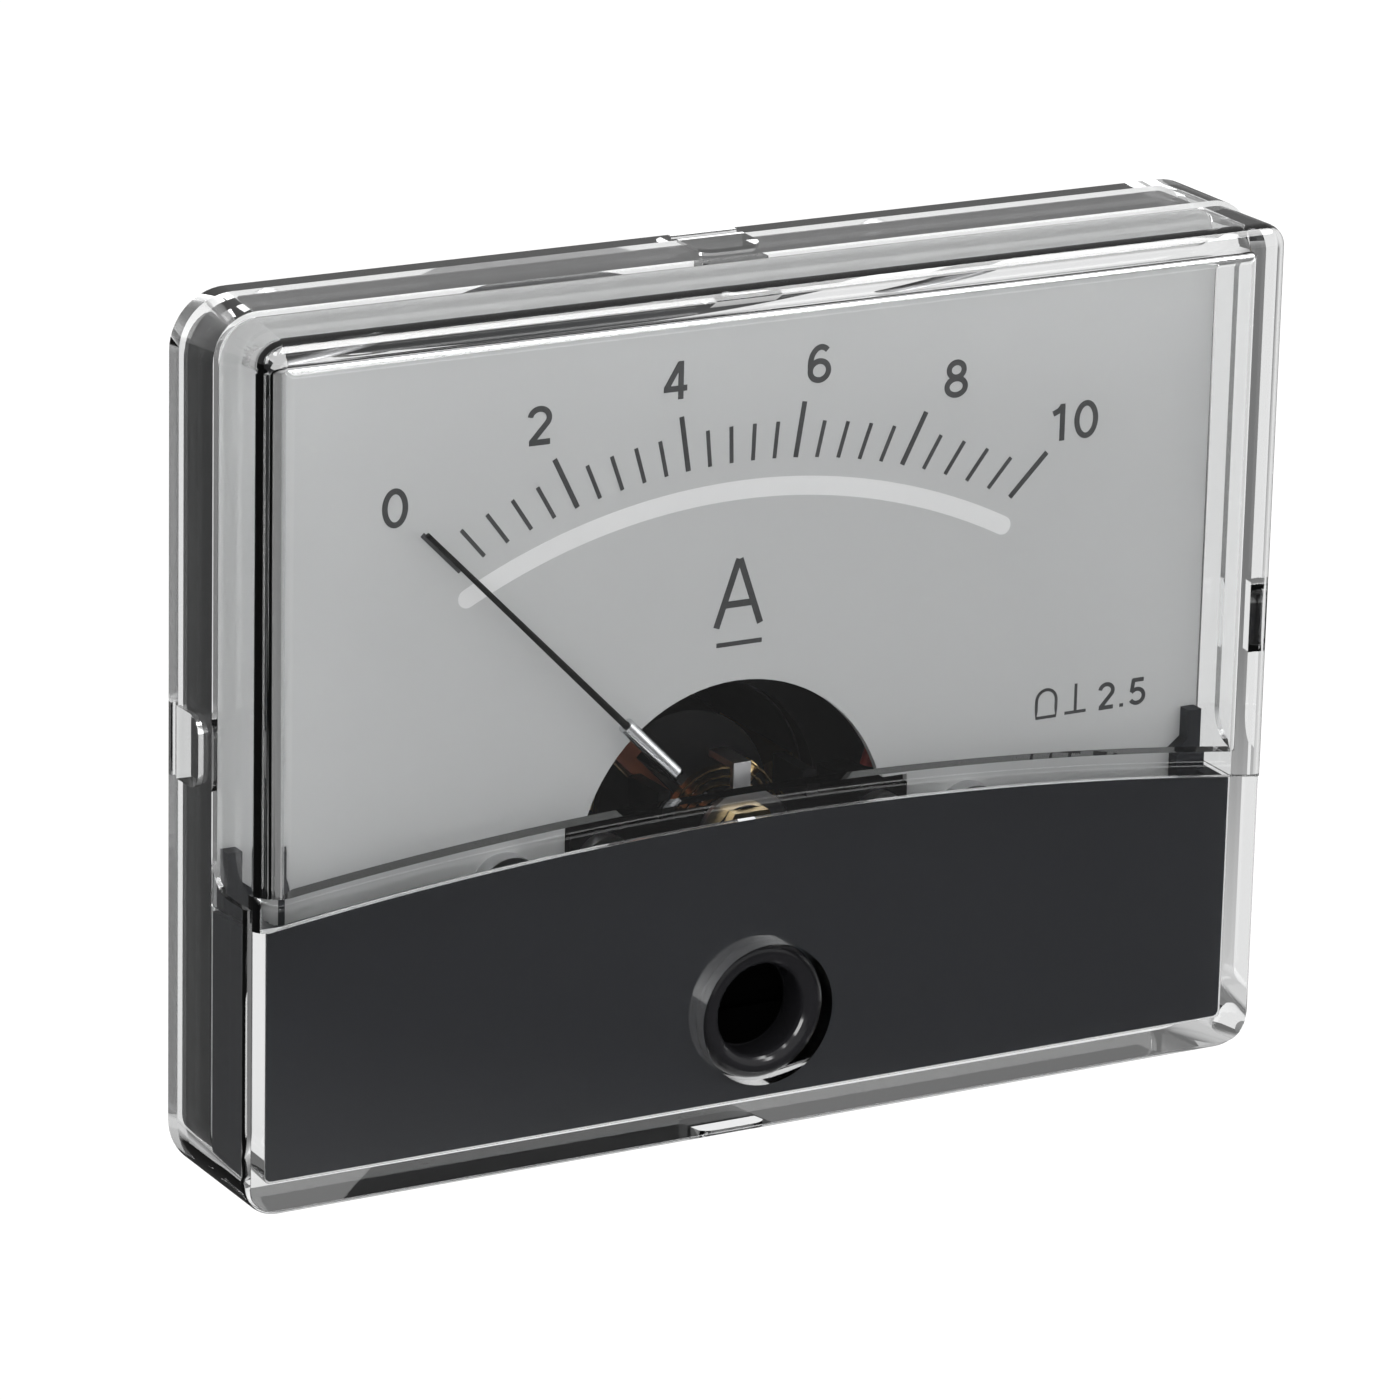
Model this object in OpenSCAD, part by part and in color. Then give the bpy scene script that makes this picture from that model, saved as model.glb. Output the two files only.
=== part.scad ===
// Moving-coil panel meter with a clear moulded front and a round rear barrel.
// Every module is drawn as seen from the front: X to the right, Y up, Z towards the viewer,
// with Z = 0 on the face that seats on the panel. upright() then stands it on the row's
// own axes, where +Z is up and the front looks along -Y.

/* [Front cover] */
// Width of the face
face_w = 60; // [56:0.5:66]
// Height of the face
face_h = 46; // [44:0.5:50]
// Corner radius of the face outline
corner_r = 3; // [2.4:0.1:4]
// Moulding draft of the side walls, in degrees
draft_deg = 2; // [0.5:0.25:2.5]
// Depth of the skirt that carries the dial and the base
skirt_d = 4.6; // [4.4:0.1:5.2]
// Depth of the plain lower block
lower_d = 8.3; // [8:0.1:9]
// How far the window block stands proud of the lower block
window_proud = 1; // [0.6:0.1:1.6]
// How far the window block's sides step in from the skirt
window_inset = 0.3; // [0.1:0.05:0.5]
// Thickness of the side walls
side_wall = 1.5; // [1.2:0.1:1.8]
// Thickness of the front wall
front_wall = 1.4; // [1.2:0.1:1.6]
// Rounding of the lower block's front edges
lower_edge_r = 0.5; // [0.2:0.1:0.8]
// Rounding of the window block's front edges
window_edge_r = 0.9; // [0.4:0.1:1.2]
// Radius of the arched lower edge of the window block
arch_r = 209; // [150:1:300]
// Height of the top of that arch, from the middle of the face
arch_top = -5.4; // [-7:0.1:-4.5]
// Wall left between the arch outside and the cavity inside
arch_wall = 1.2; // [0.8:0.1:1.6]
// Height on the side walls at which the lower block turns into the skirt
shoulder_y = -6.4; // [-8:0.1:-5]
// Radius of the hollow corner under that shoulder
shoulder_r = 1.8; // [1:0.1:2.4]
// Width of the pry notches and catch pockets at the middle of each side
catch_w = 3.4; // [2.8:0.1:4.5]
// Depth of the pry notches along the skirt
notch_d = 0.8; // [0.5:0.1:1]
// How deep the pry notches cut into the wall
notch_in = 0.7; // [0.4:0.1:0.9]
// How deep the catch pockets cut into the inside of the wall
pocket_in = 0.6; // [0.5:0.05:0.8]
// Rounding inside the cavity that takes the mask
mask_cavity_r = 0.06; // [0.04:0.01:0.08]
// Rounding inside the window's cavity
window_cavity_r = 0.2; // [0.1:0.05:0.3]

/* [Mask and zero adjuster] */
// Thickness of the black mask behind the lower block
mask_t = 0.5; // [0.4:0.1:0.8]
// How far the top of the mask lies below the arch
mask_drop = 0.54; // [0.3:0.02:1]
// Gap between the mask and the walls round it
mask_gap = 0.08; // [0.05:0.01:0.2]
// Thickness of the mask's flanges, which stand on the dial
mask_flange_t = 0.8; // [0.6:0.1:1]
// Height at which those flanges end, from the middle of the face
mask_flange_top = -7.9; // [-9:0.1:-7.8]
// Height of the top of the mask's end tabs, which show at the sides of the window
mask_tab_top = -4.7; // [-5.4:0.1:-4]
// Height of the zero adjuster's axis over the face's lower edge
adjuster_rise = 6.55; // [6.3:0.05:7]
// Radius of the adjuster's head
adjuster_head_r = 3.7; // [3.4:0.1:3.9]
// Clearance round the head in the cover
adjuster_head_gap = 0.1; // [0.05:0.01:0.2]
// How far the head is set back from the cover's face
adjuster_setback = 0.45; // [0.2:0.05:0.8]
// Radius of the adjuster's neck, which turns in the mask
adjuster_neck_r = 3; // [2.8:0.1:3.2]
// Running clearance of the neck in the mask
neck_gap = 0.05; // [0.02:0.01:0.09]
// How far the snap collar stands out from the neck
collar_out = 0.35; // [0.2:0.05:0.5]
// Radius of the recess in the adjuster's head
adjuster_recess_r = 2.45; // [2.2:0.05:2.6]
// Height of the mask's boss round the neck, behind the mask
mask_boss_h = 1.05; // [0.8:0.05:1.2]
// Wall of the mask's boss
mask_boss_wall = 1.3; // [1:0.1:1.6]
// Depth of that recess behind the mask's front
recess_d = 1.2; // [0.9:0.05:1.25]
// Width of the screwdriver slot
slot_w = 0.8; // [0.6:0.1:1]
// Depth of the screwdriver slot
slot_d = 0.45; // [0.3:0.05:0.5]
// Throw of the eccentric pin
pin_throw = 1.2; // [1:0.05:1.4]
// Radius of the eccentric pin
pin_r = 0.5; // [0.4:0.05:0.6]

/* [Dial] */
// Thickness of the dial plate
dial_t = 0.4; // [0.3:0.05:0.6]
// Gap between the dial plate's edge and the cover
dial_gap = 0.2; // [0.1:0.05:0.3]
// Radius of the round opening over the movement
opening_r = 9.05; // [8.6:0.05:9.4]
// Height of that opening's centre
opening_y = -8.7; // [-9:0.05:-8.4]
// Half width of the straight slot across the opening
ear_half_w = 10.05; // [9.95:0.05:10.6]
// Distance of each dial screw from the middle
dial_screw_x = 13.6; // [13.3:0.1:14]
// Height of the dial screws
dial_screw_y = -8.6; // [-9:0.1:-8.2]
// Radius of the dial screws' heads
dial_head_r = 1.8; // [1.6:0.1:2]
// Height of the dial screws' heads
dial_head_h = 1; // [0.8:0.1:1.2]
// Length of the dial and movement screws under their heads
small_screw_l = 6; // [5:0.5:6.5]

/* [Base and barrel] */
// Thickness of the base's front plate
plate_t = 1.6; // [1.4:0.1:2]
// Height of the base's rim, which carries the dial
rim_h = 3.2; // [3:0.1:3.4]
// Wall of the base's rim
rim_wall = 1.2; // [1:0.1:1.5]
// Gap between the base's rim and the cover
rim_gap = 0.15; // [0.1:0.01:0.2]
// Height of the barrel's axis, from the middle of the face
barrel_y = -2; // [-2.4:0.1:-1.6]
// Radius of the barrel, for a 38 mm hole in the panel
barrel_r = 18.8; // [18.5:0.1:18.9]
// Wall of the barrel
barrel_wall = 1.4; // [1.2:0.1:1.5]
// Depth of the barrel behind the panel face
barrel_d = 19.2; // [18.6:0.1:22]
// Thickness of the barrel's floor
floor_t = 1.6; // [1.4:0.1:1.8]
// Radius of the posts under the dial screws
post_r = 1.9; // [1.7:0.1:2]
// Height of the ribs that tie those posts to the barrel
post_rib_h = 2.4; // [2:0.1:2.8]
// How far the movement bosses' axes stand in from the barrel's bore
boss_in = 2; // [1.9:0.05:2.1]
// Radius of the movement bosses
boss_r = 2.2; // [2.1:0.1:2.4]

/* [Panel studs and terminals] */
// Spacing of the four panel studs across the face
stud_pitch_x = 36; // [35.5:0.5:40]
// Spacing of the four panel studs up the face
stud_pitch_y = 32; // [31:0.5:33]
// Radius of the panel studs (M3)
stud_r = 1.5; // [1.5:0.1:1.6]
// Length of the panel studs behind the panel face
stud_l = 14; // [10:0.5:16]
// Radius of the plain shank that holds each stud in the base
shank_r = 1.75; // [1.7:0.05:1.9]
// Spacing of the two terminals
terminal_pitch = 18; // [17:0.5:19]
// Height of the terminals above the barrel's axis
terminal_y = 6; // [5.5:0.1:6.5]
// Radius of the terminal studs (M4)
terminal_r = 2; // [1.9:0.1:2.1]
// Length of the terminal studs behind the barrel
terminal_l = 10.8; // [10:0.1:14]
// Width across flats of the terminal nuts and heads
terminal_af = 7; // [6.6:0.1:7.2]
// Thickness of the shunt strip between the terminals
shunt_t = 0.6; // [0.4:0.1:0.8]
// Half height of the shunt strip
shunt_half_h = 2.9; // [2.7:0.1:3.2]
// How far the shunt strip runs past the terminals
shunt_over = 3; // [2.8:0.1:3.4]
// Radius of the series resistor's body
resistor_r = 1.2; // [1:0.1:1.3]
// Length of the series resistor's body
resistor_l = 6; // [5:0.5:6.5]
// Radius of the lead to the front bridge
front_lead_r = 0.35; // [0.3:0.05:0.4]
// Radius of the lead to the rear spring
rear_lead_r = 0.3; // [0.25:0.05:0.35]
// Room between the front bridge's lead and what it passes
lead_room = 0.5; // [0.4:0.05:0.55]

/* [Movement] */
// Height of the pivot axis
pivot_y = -7.84; // [-8:0.02:-7.7]
// Radius of the core magnet
core_r = 5; // [4.8:0.05:5.05]
// How far each end of the core lies inside the yoke
core_inset = 0.3; // [0.2:0.05:0.5]
// Bore radius of the soft-iron yoke ring
yoke_bore_r = 7; // [6.9:0.05:7.1]
// Outer radius of the yoke ring
yoke_r = 9.2; // [9.1:0.05:9.3]
// Room left for the circuit between the movement and the barrel's floor
circuit_room = 1.65; // [1.5:0.05:2.2]
// Half angle of the brass spacers between core and yoke
spacer_half_deg = 14; // [10:1:15]
// Thickness of the moulded movement plate
carrier_t = 1.2; // [1:0.1:1.2]
// Gap between the movement plate and the barrel's bore
carrier_gap = 0.5; // [0.3:0.05:0.6]
// Height of the movement plate's straight top over the barrel's axis
carrier_top = 4.2; // [3.7:0.1:5]
// Gap between the movement plate and the dial posts
post_gap = 0.3; // [0.25:0.05:0.4]
// Radius of the movement screws' heads
movement_head_r = 1.6; // [1.5:0.1:1.8]
// Height of the movement screws' heads
movement_head_h = 0.9; // [0.8:0.1:1]
// Half height of the two bridges
bridge_half_h = 1.6; // [1.5:0.05:1.7]
// Thickness of the bridges' bars
bridge_t = 1; // [0.9:0.05:1.1]
// Distance of the bridge screws from the pivot
bridge_screw_x = 8.1; // [8:0.02:8.16]
// Radius of the pivot shafts
shaft_r = 0.35; // [0.3:0.05:0.4]
// Running clearance of the shafts in their jewels
shaft_gap = 0.07; // [0.04:0.01:0.09]
// Radius of the jewel screws
jewel_screw_r = 1; // [0.95:0.05:1.1]
// Width across flats of the jewel screws' lock nuts
jewel_nut_af = 3.4; // [3.2:0.1:3.6]
// Thickness of those lock nuts
jewel_nut_t = 0.6; // [0.5:0.05:0.65]
// Room for the hairspring between the coil and the rear bridge
rear_spring_room = 2.15; // [2.05:0.05:2.4]

/* [Moving coil and pointer] */
// Wall of the coil former
former_t = 0.25; // [0.2:0.05:0.3]
// Width of the coil former
former_w = 2.2; // [2:0.1:2.3]
// Gap between the core and the former
core_gap = 0.35; // [0.3:0.05:0.4]
// Thickness of the copper winding
winding_t = 0.8; // [0.6:0.05:0.85]
// Clearance between the core's ends and the former
end_gap = 0.6; // [0.5:0.05:0.8]
// Angle of the scale from end to end
sweep_deg = 90; // [80:1:92]
// Reach of the pointer from the pivot
pointer_l = 26.2; // [24:0.1:27]
// Radius of the pointer at the sleeve
pointer_r = 0.2; // [0.16:0.01:0.25]
// Radius of the pointer at its tip
pointer_tip_r = 0.13; // [0.1:0.01:0.16]
// Height of the pointer's axis over the dial
pointer_lift = 1.3; // [1.1:0.05:1.6]
// Where the sleeve starts, from the pivot
sleeve_from = 6; // [5.9:0.05:6.2]
// Where the sleeve ends, from the pivot
sleeve_to = 10.1; // [9.6:0.1:11]
// Radius of the sleeve
sleeve_r = 0.42; // [0.35:0.01:0.5]
// Radius at which the cranked arm rises past the dial
crank_r = 5.5; // [5.4:0.05:5.6]
// Width of the cranked arm
arm_w = 0.6; // [0.5:0.05:0.7]
// Length of the balance arms
balance_l = 3.8; // [3.6:0.05:3.85]
// Radius of the balance weights
weight_r = 0.5; // [0.4:0.05:0.55]

/* [Springs and zero lever] */
// Outer radius of the hairsprings
spring_r = 3.66; // [3.6:0.01:3.68]
// Number of turns of the hairsprings
spring_turns = 6; // [4:1:7]
// Thickness of the hairspring strip
spring_t = 0.1; // [0.08:0.01:0.12]
// Width of the hairspring strip
spring_w = 0.5; // [0.4:0.05:0.55]
// Radius of the boss that the zero lever turns on
lever_boss_r = 1.8; // [1.7:0.05:1.85]
// Running clearance of the lever on its boss
lever_gap = 0.05; // [0.03:0.01:0.08]
// Thickness of the zero lever
lever_t = 0.35; // [0.3:0.05:0.4]
// Width of the lever's ring round its boss
lever_ring_w = 0.9; // [0.7:0.05:1]
// Clearance of the eccentric pin in the lever's fork
fork_gap = 0.06; // [0.04:0.01:0.08]

/* [Hidden] */
$fn = 64;

e = 0.01;                               // overlap that keeps cuts clean
snug = 0.02;                            // play of a screw or shaft in its own hole
touch = 0.02;                           // gap between pieces that are soldered or glued
free_play = 0.1;                        // play of a screw in a clearance hole
window_d = lower_d + window_proud;
lower_cavity_d = lower_d - front_wall;  // inside face of the lower block
window_cavity_d = window_d - front_wall;
dial_front = rim_h + dial_t;
arch_mid = arch_top - arch_r;           // centre of the arch
adjuster_y = adjuster_rise - face_h / 2;

mask_front = lower_cavity_d;
mask_back = mask_front - mask_t;
mask_boss_back = mask_back - mask_boss_h;
collar_front = mask_boss_back - free_play;
collar_back = collar_front - 0.35;
neck_front = mask_front + 0.05;
head_front = lower_d - adjuster_setback;
recess_floor = mask_front - recess_d;
slot_floor = recess_floor - slot_d;

base_half = [for (s = [face_w, face_h]) s / 2 - side_wall - rim_h * tan(draft_deg) - rim_gap];
inner_corner_r = corner_r - side_wall;
barrel_bore_r = barrel_r - barrel_wall;
floor_z = floor_t - barrel_d;           // inside face of the barrel's floor
post_back = -8;                         // rear end of the dial posts
screw_r = 1;                            // M2 dial and movement screws
screw_hole_d = small_screw_l + 0.2;     // depth of their threaded holes
boss_x = barrel_bore_r - boss_in;
carrier_r = barrel_bore_r - carrier_gap;

// the movement's stack, from the rear lock nut up to the back of the yoke
coil_overhang = end_gap + former_t + winding_t - core_inset;
rear_stack = coil_overhang + rear_spring_room + bridge_t + lever_t + jewel_nut_t;
carrier_front = -0.3;
carrier_back = carrier_front - carrier_t;
yoke_back = floor_z + circuit_room + rear_stack;
core_front = carrier_back - core_inset;
core_back = yoke_back + core_inset;
coil_in = core_r + core_gap;            // half span inside the former
coil_out = coil_in + former_t;
winding_out = coil_out + winding_t;
former_front = core_front + end_gap + former_t;
former_back = core_back - end_gap - former_t;
winding_front = former_front + winding_t;
winding_back = former_back - winding_t;
pivot_foot_t = 0.3;                     // brass foot that joins a shaft to the coil
spacer_inset = 0.4;                     // how far the spacers lie inside the core's ends

bridge_front = dial_front + 0.3;        // front face of the front bridge
bridge_back = bridge_front - bridge_t;
rear_bar_front = winding_back - rear_spring_room;
rear_bar_back = rear_bar_front - bridge_t;
bridge_end = ear_half_w - 0.15;
leg_half_w = 0.9;
leg_from = bridge_screw_x - leg_half_w;
leg_to = bridge_screw_x + leg_half_w;
bridge_bolt_r = 0.8;
bridge_head_r = 1.4;
bridge_head_h = 0.8;
thread_depth = 2.5;                     // how far the bridge screws enter the yoke

lever_back = bridge_front + 0.15;
lever_front = lever_back + lever_t;
boss_front = lever_front + lever_gap;
jewel_screw_l = 2.55;
cup_r = 0.7;
cup_l = 0.8;
front_cup_back = bridge_back - 0.15;    // mouth of the front jewel
rear_cup_front = rear_bar_front + 0.15; // mouth of the rear jewel

arm_z = winding_front + 1.15;           // mid height of the balance cross
pointer_z = dial_front + pointer_lift;
collet_r = 0.75;
front_spring_z = arm_z + 0.9;
rear_spring_z = winding_back - 1.45;
tab_in = spring_r + 0.03;               // inner face of the tab that holds a hairspring
tab_out = tab_in + lever_t;
fork_reach = pivot_y - adjuster_y;      // pivot to adjuster axis
stop_in = 3.9;                          // where the pointer stops begin, from the middle
stop_out = 4.6;
stop_top = 2.9;

terminal_x = terminal_pitch / 2;
terminal_corner_r = terminal_af / 2 / cos(30);
terminal_head_h = 2.2;
shunt_front = floor_z + shunt_t;
nut_h = 2.8;
washer_t = 0.8;
washer_r = 4.4;
tag_t = 0.5;
tag_l = 8;
stud_head_r = 3.1;
stud_head_t = 0.95;
resistor_z = shunt_front + resistor_r + 0.4;
resistor_wire_r = 0.25;
tag_half_w = 1.6;
tag_ring_r = 3.9;

clear = [0.86, 0.88, 0.88, 0.35];
black = [0.13, 0.13, 0.14];
brass = [0.78, 0.63, 0.33];
steel = [0.72, 0.73, 0.75];
copper = [0.62, 0.3, 0.18];

// ---- Shared forms ----

// Stands the drawing up: its Y becomes the row's +Z and its Z the row's -Y
module upright() {
    rotate([90, 0, 0]) children();
}

// Solid disc between two depths
module disc(r, z0, z1) {
    translate([0, 0, z0]) cylinder(h = z1 - z0, r = r);
}

// Box between two corners
module block(low, high) {
    translate(low) cube(high - low);
}

// Hexagon between two depths, by its width across flats
module hexagon(af, z0, z1) {
    translate([0, 0, z0]) cylinder(h = z1 - z0, r = af / 2 / cos(30), $fn = 6);
}

// Plate with rounded corners, by its half sizes
module rounded_plate(half, r, z0, z1) {
    translate([0, 0, z0]) linear_extrude(z1 - z0) {
        square([2 * half[0] - 2 * r, 2 * half[1]], center = true);
        square([2 * half[0], 2 * half[1] - 2 * r], center = true);
        for (sx = [-1, 1], sy = [-1, 1])
            translate([sx * (half[0] - r), sy * (half[1] - r)]) circle(r);
    }
}

// Drafted block with rounded corners and rounded front edges. inset is how far its
// walls lie inside the face outline at depth 0.
module drafted_block(inset, r, z0, z1, edge_r) {
    levels = concat([[z0, 0]], [for (a = [0:22.5:90]) [z1 - edge_r * (1 - sin(a)), edge_r * (1 - cos(a))]]);
    hull() for (l = levels) {
        in = inset + l[0] * tan(draft_deg) + l[1];
        cr = max(r - l[1], 0.2);
        for (sx = [-1, 1], sy = [-1, 1])
            translate([sx * (face_w / 2 - in - cr), sy * (face_h / 2 - in - cr), max(l[0] - e, z0)])
                cylinder(h = e, r = cr, $fn = 32);
    }
}

// Everything below the arch, with its radius grown by extra and an edge that flares out
module below_arch(extra, z0, z1, edge_r = 0) {
    flare = [for (a = [0:22.5:90]) [arch_r + extra + edge_r * (1 - cos(a)), z1 - edge_r * (1 - sin(a))]];
    translate([0, arch_mid, 0]) rotate_extrude($fn = 720)
        polygon(concat([[arch_r - face_h, z0], [arch_r + extra, z0]], flare, [[arch_r - face_h, z1]]));
}

// Copies at the middle of each of the four sides, facing outwards along X
module each_side() {
    for (a = [0, 180]) rotate([0, 0, a]) translate([face_w / 2, 0, 0]) children();
    for (a = [90, 270]) rotate([0, 0, a]) translate([face_h / 2, 0, 0]) children();
}

// Copies at left and right
module both(x) {
    for (s = [-1, 1]) translate([s * x, 0, 0]) children();
}

// Copies at the four panel studs
module four() {
    for (sx = [-1, 1], sy = [-1, 1])
        translate([sx * stud_pitch_x / 2, sy * stud_pitch_y / 2, 0]) children();
}

// Moves a piece onto the barrel's axis
module at_barrel() {
    translate([0, barrel_y, 0]) children();
}

// Moves a piece to the height of the terminals
module at_terminals() {
    translate([0, barrel_y + terminal_y, 0]) children();
}

// Moves a piece to the height of the dial screws
module at_dial_screws() {
    translate([0, dial_screw_y, 0]) children();
}

// Screw with a slotted cheese head that faces forwards from z; length runs back
module slotted_screw(r, head_r, head_h, z, length) {
    difference() {
        union() {
            disc(r, z - length, z + e);
            disc(head_r, z, z + head_h);
        }
        block([-head_r - e, -0.2, z + head_h * 0.5], [head_r + e, 0.2, z + head_h + e]);
    }
}

// Round wire through a list of points, with a ball at each bend
module wire(points, r) {
    for (i = [0:len(points) - 2]) {
        v = points[i + 1] - points[i];
        translate(points[i])
            rotate([0, acos(v[2] / norm(v)), atan2(v[1], v[0])]) cylinder(h = norm(v), r = r, $fn = 16);
    }
    for (i = [1:len(points) - 2]) translate(points[i]) sphere(r * 1.12, $fn = 24);
}

// Flat spiral strip that ends at the top of its last turn
module hairspring(z0) {
    steps = spring_turns * 24;
    r0 = collet_r + spring_t + 0.03;
    r_at = function(i) r0 + (spring_r - r0) * i / steps;
    a_at = function(i) 90 + 360 * i / 24;
    outer = [for (i = [0:steps]) r_at(i) * [cos(a_at(i)), sin(a_at(i))]];
    inner = [for (i = [steps:-1:0]) (r_at(i) - spring_t) * [cos(a_at(i)), sin(a_at(i))]];
    translate([0, 0, z0]) linear_extrude(spring_w) polygon(concat(outer, inner));
}

// ---- Case ----

module front_cover() {
    upright() color(clear) difference() {
        union() {
            // skirt and lower block, flush with each other
            intersection() {
                drafted_block(0, corner_r, 0, lower_d, lower_edge_r);
                union() {
                    block([-face_w, -face_h, -e], [face_w, face_h, skirt_d]);
                    block([-face_w, -face_h, -e], [face_w, shoulder_y, lower_d + 1]);
                    difference() {
                        block([-face_w, shoulder_y - e, skirt_d - e],
                              [face_w, shoulder_y + shoulder_r, skirt_d + shoulder_r]);
                        translate([0, shoulder_y + shoulder_r, skirt_d + shoulder_r])
                            rotate([0, 90, 0]) cylinder(h = 3 * face_w, r = shoulder_r, center = true);
                    }
                }
            }
            // window block, proud and stepped in, with its arched lower edge
            difference() {
                drafted_block(window_inset, corner_r - window_inset, 0, window_d, window_edge_r);
                below_arch(0, lower_d, window_d + e, window_edge_r);
                block([-face_w, -face_h, lower_d], [face_w, arch_mid + arch_r - 6, window_d + 1]);
            }
        }
        // room for the base and the dial, and for the mask further down
        intersection() {
            drafted_block(side_wall, inner_corner_r, -e, lower_cavity_d, mask_cavity_r);
            union() {
                block([-face_w, -face_h, -1], [face_w, face_h, dial_front]);
                block([-face_w, -face_h, -1], [face_w, shoulder_y - arch_wall, lower_d]);
            }
        }
        // window cavity
        difference() {
            drafted_block(side_wall + window_inset, inner_corner_r, 1, window_cavity_d, window_cavity_r);
            below_arch(arch_wall, lower_cavity_d, window_cavity_d + e);
            block([-face_w, -face_h, lower_cavity_d], [face_w, arch_mid + arch_r - 6, window_d]);
        }
        // hole for the zero adjuster
        translate([0, adjuster_y, 0])
            disc(adjuster_head_r + adjuster_head_gap, lower_cavity_d - 1, lower_d + 1);
        // pry notches outside, catch pockets inside
        each_side() {
            block([-notch_in, -catch_w / 2, -1], [1, catch_w / 2, notch_d]);
            block([-side_wall - 0.3, -catch_w / 2, notch_d + 0.3],
                  [pocket_in - side_wall, catch_w / 2, rim_h - 0.6]);
        }
    }
}

// Arched plate with flanges that run back to the dial at both sides and below
module front_mask() {
    half = [for (s = [face_w, face_h]) s / 2 - side_wall - mask_front * tan(draft_deg) - mask_gap];
    flange_inner_r = max(inner_corner_r - mask_flange_t, 0.2);
    tab_x = face_w / 2 - side_wall - window_inset - mask_back * tan(draft_deg) - mask_gap;
    upright() color(black) difference() {
        union() {
            intersection() {
                rounded_plate(half, inner_corner_r, mask_back, mask_front);
                translate([0, arch_mid - mask_drop, 0])
                    translate([0, 0, mask_back - 1]) cylinder(h = mask_t + 2, r = arch_r, $fn = 720);
            }
            difference() {
                intersection() {
                    rounded_plate(half, inner_corner_r, dial_front, mask_back + e);
                    block([-face_w, -face_h, 0], [face_w, mask_flange_top, mask_front]);
                }
                rounded_plate([half[0] - mask_flange_t, half[1] - mask_flange_t], flange_inner_r, 0, mask_back);
            }
            for (s = [0, 1]) mirror([s, 0, 0])
                block([tab_x - mask_flange_t, mask_flange_top - 1, dial_front],
                      [tab_x, mask_tab_top, mask_back]);
            translate([0, adjuster_y, 0])
                disc(adjuster_neck_r + mask_boss_wall, mask_boss_back, mask_back + e);
        }
        translate([0, adjuster_y, 0]) disc(adjuster_neck_r + neck_gap, mask_boss_back - 1, mask_front + 1);
    }
}

// Snap-in plug with a rounded rim, a screwdriver slot and an eccentric pin behind
module zero_adjuster() {
    rim_mid = (adjuster_head_r + adjuster_recess_r) / 2;
    rim_half = (adjuster_head_r - adjuster_recess_r) / 2;
    rim = [for (a = [0:15:180]) [rim_mid + rim_half * cos(a), head_front - rim_half * (1 - sin(a))]];
    profile = concat(
        [[0, collar_back], [adjuster_neck_r, collar_back], [adjuster_neck_r + collar_out, collar_back + 0.2],
         [adjuster_neck_r + collar_out, collar_front], [adjuster_neck_r, collar_front],
         [adjuster_neck_r, neck_front], [adjuster_head_r, neck_front]],
        rim, [[adjuster_recess_r, recess_floor], [0, recess_floor]]);
    upright() color(black) translate([0, adjuster_y, 0]) {
        difference() {
            rotate_extrude() polygon(profile);
            block([-adjuster_recess_r * 0.95, -slot_w / 2, slot_floor],
                  [adjuster_recess_r * 0.95, slot_w / 2, recess_floor + e]);
        }
        translate([0, pin_throw, 0]) disc(pin_r, lever_back - 0.1, collar_back + e);
    }
}

module dial_plate() {
    half = [for (s = [face_w, face_h]) s / 2 - side_wall - dial_front * tan(draft_deg) - dial_gap];
    ear_low = pivot_y - bridge_half_h - 0.75;
    ear_high = pivot_y + bridge_half_h + 0.32;
    upright() color([0.68, 0.68, 0.68]) difference() {
        rounded_plate(half, inner_corner_r, rim_h, dial_front);
        intersection() {
            translate([0, opening_y, 0]) disc(opening_r, 0, rim_h + 2);
            block([-face_w, ear_low, 0], [face_w, face_h, rim_h + 2]);
        }
        block([-ear_half_w, ear_low, 0], [ear_half_w, ear_high, rim_h + 2]);
        at_dial_screws() both(dial_screw_x) disc(screw_r + free_play, 0, rim_h + 2);
    }
}

module dial_screws() {
    upright() color(steel) at_dial_screws() both(dial_screw_x)
        slotted_screw(screw_r, dial_head_r, dial_head_h, dial_front, small_screw_l);
}

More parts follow.
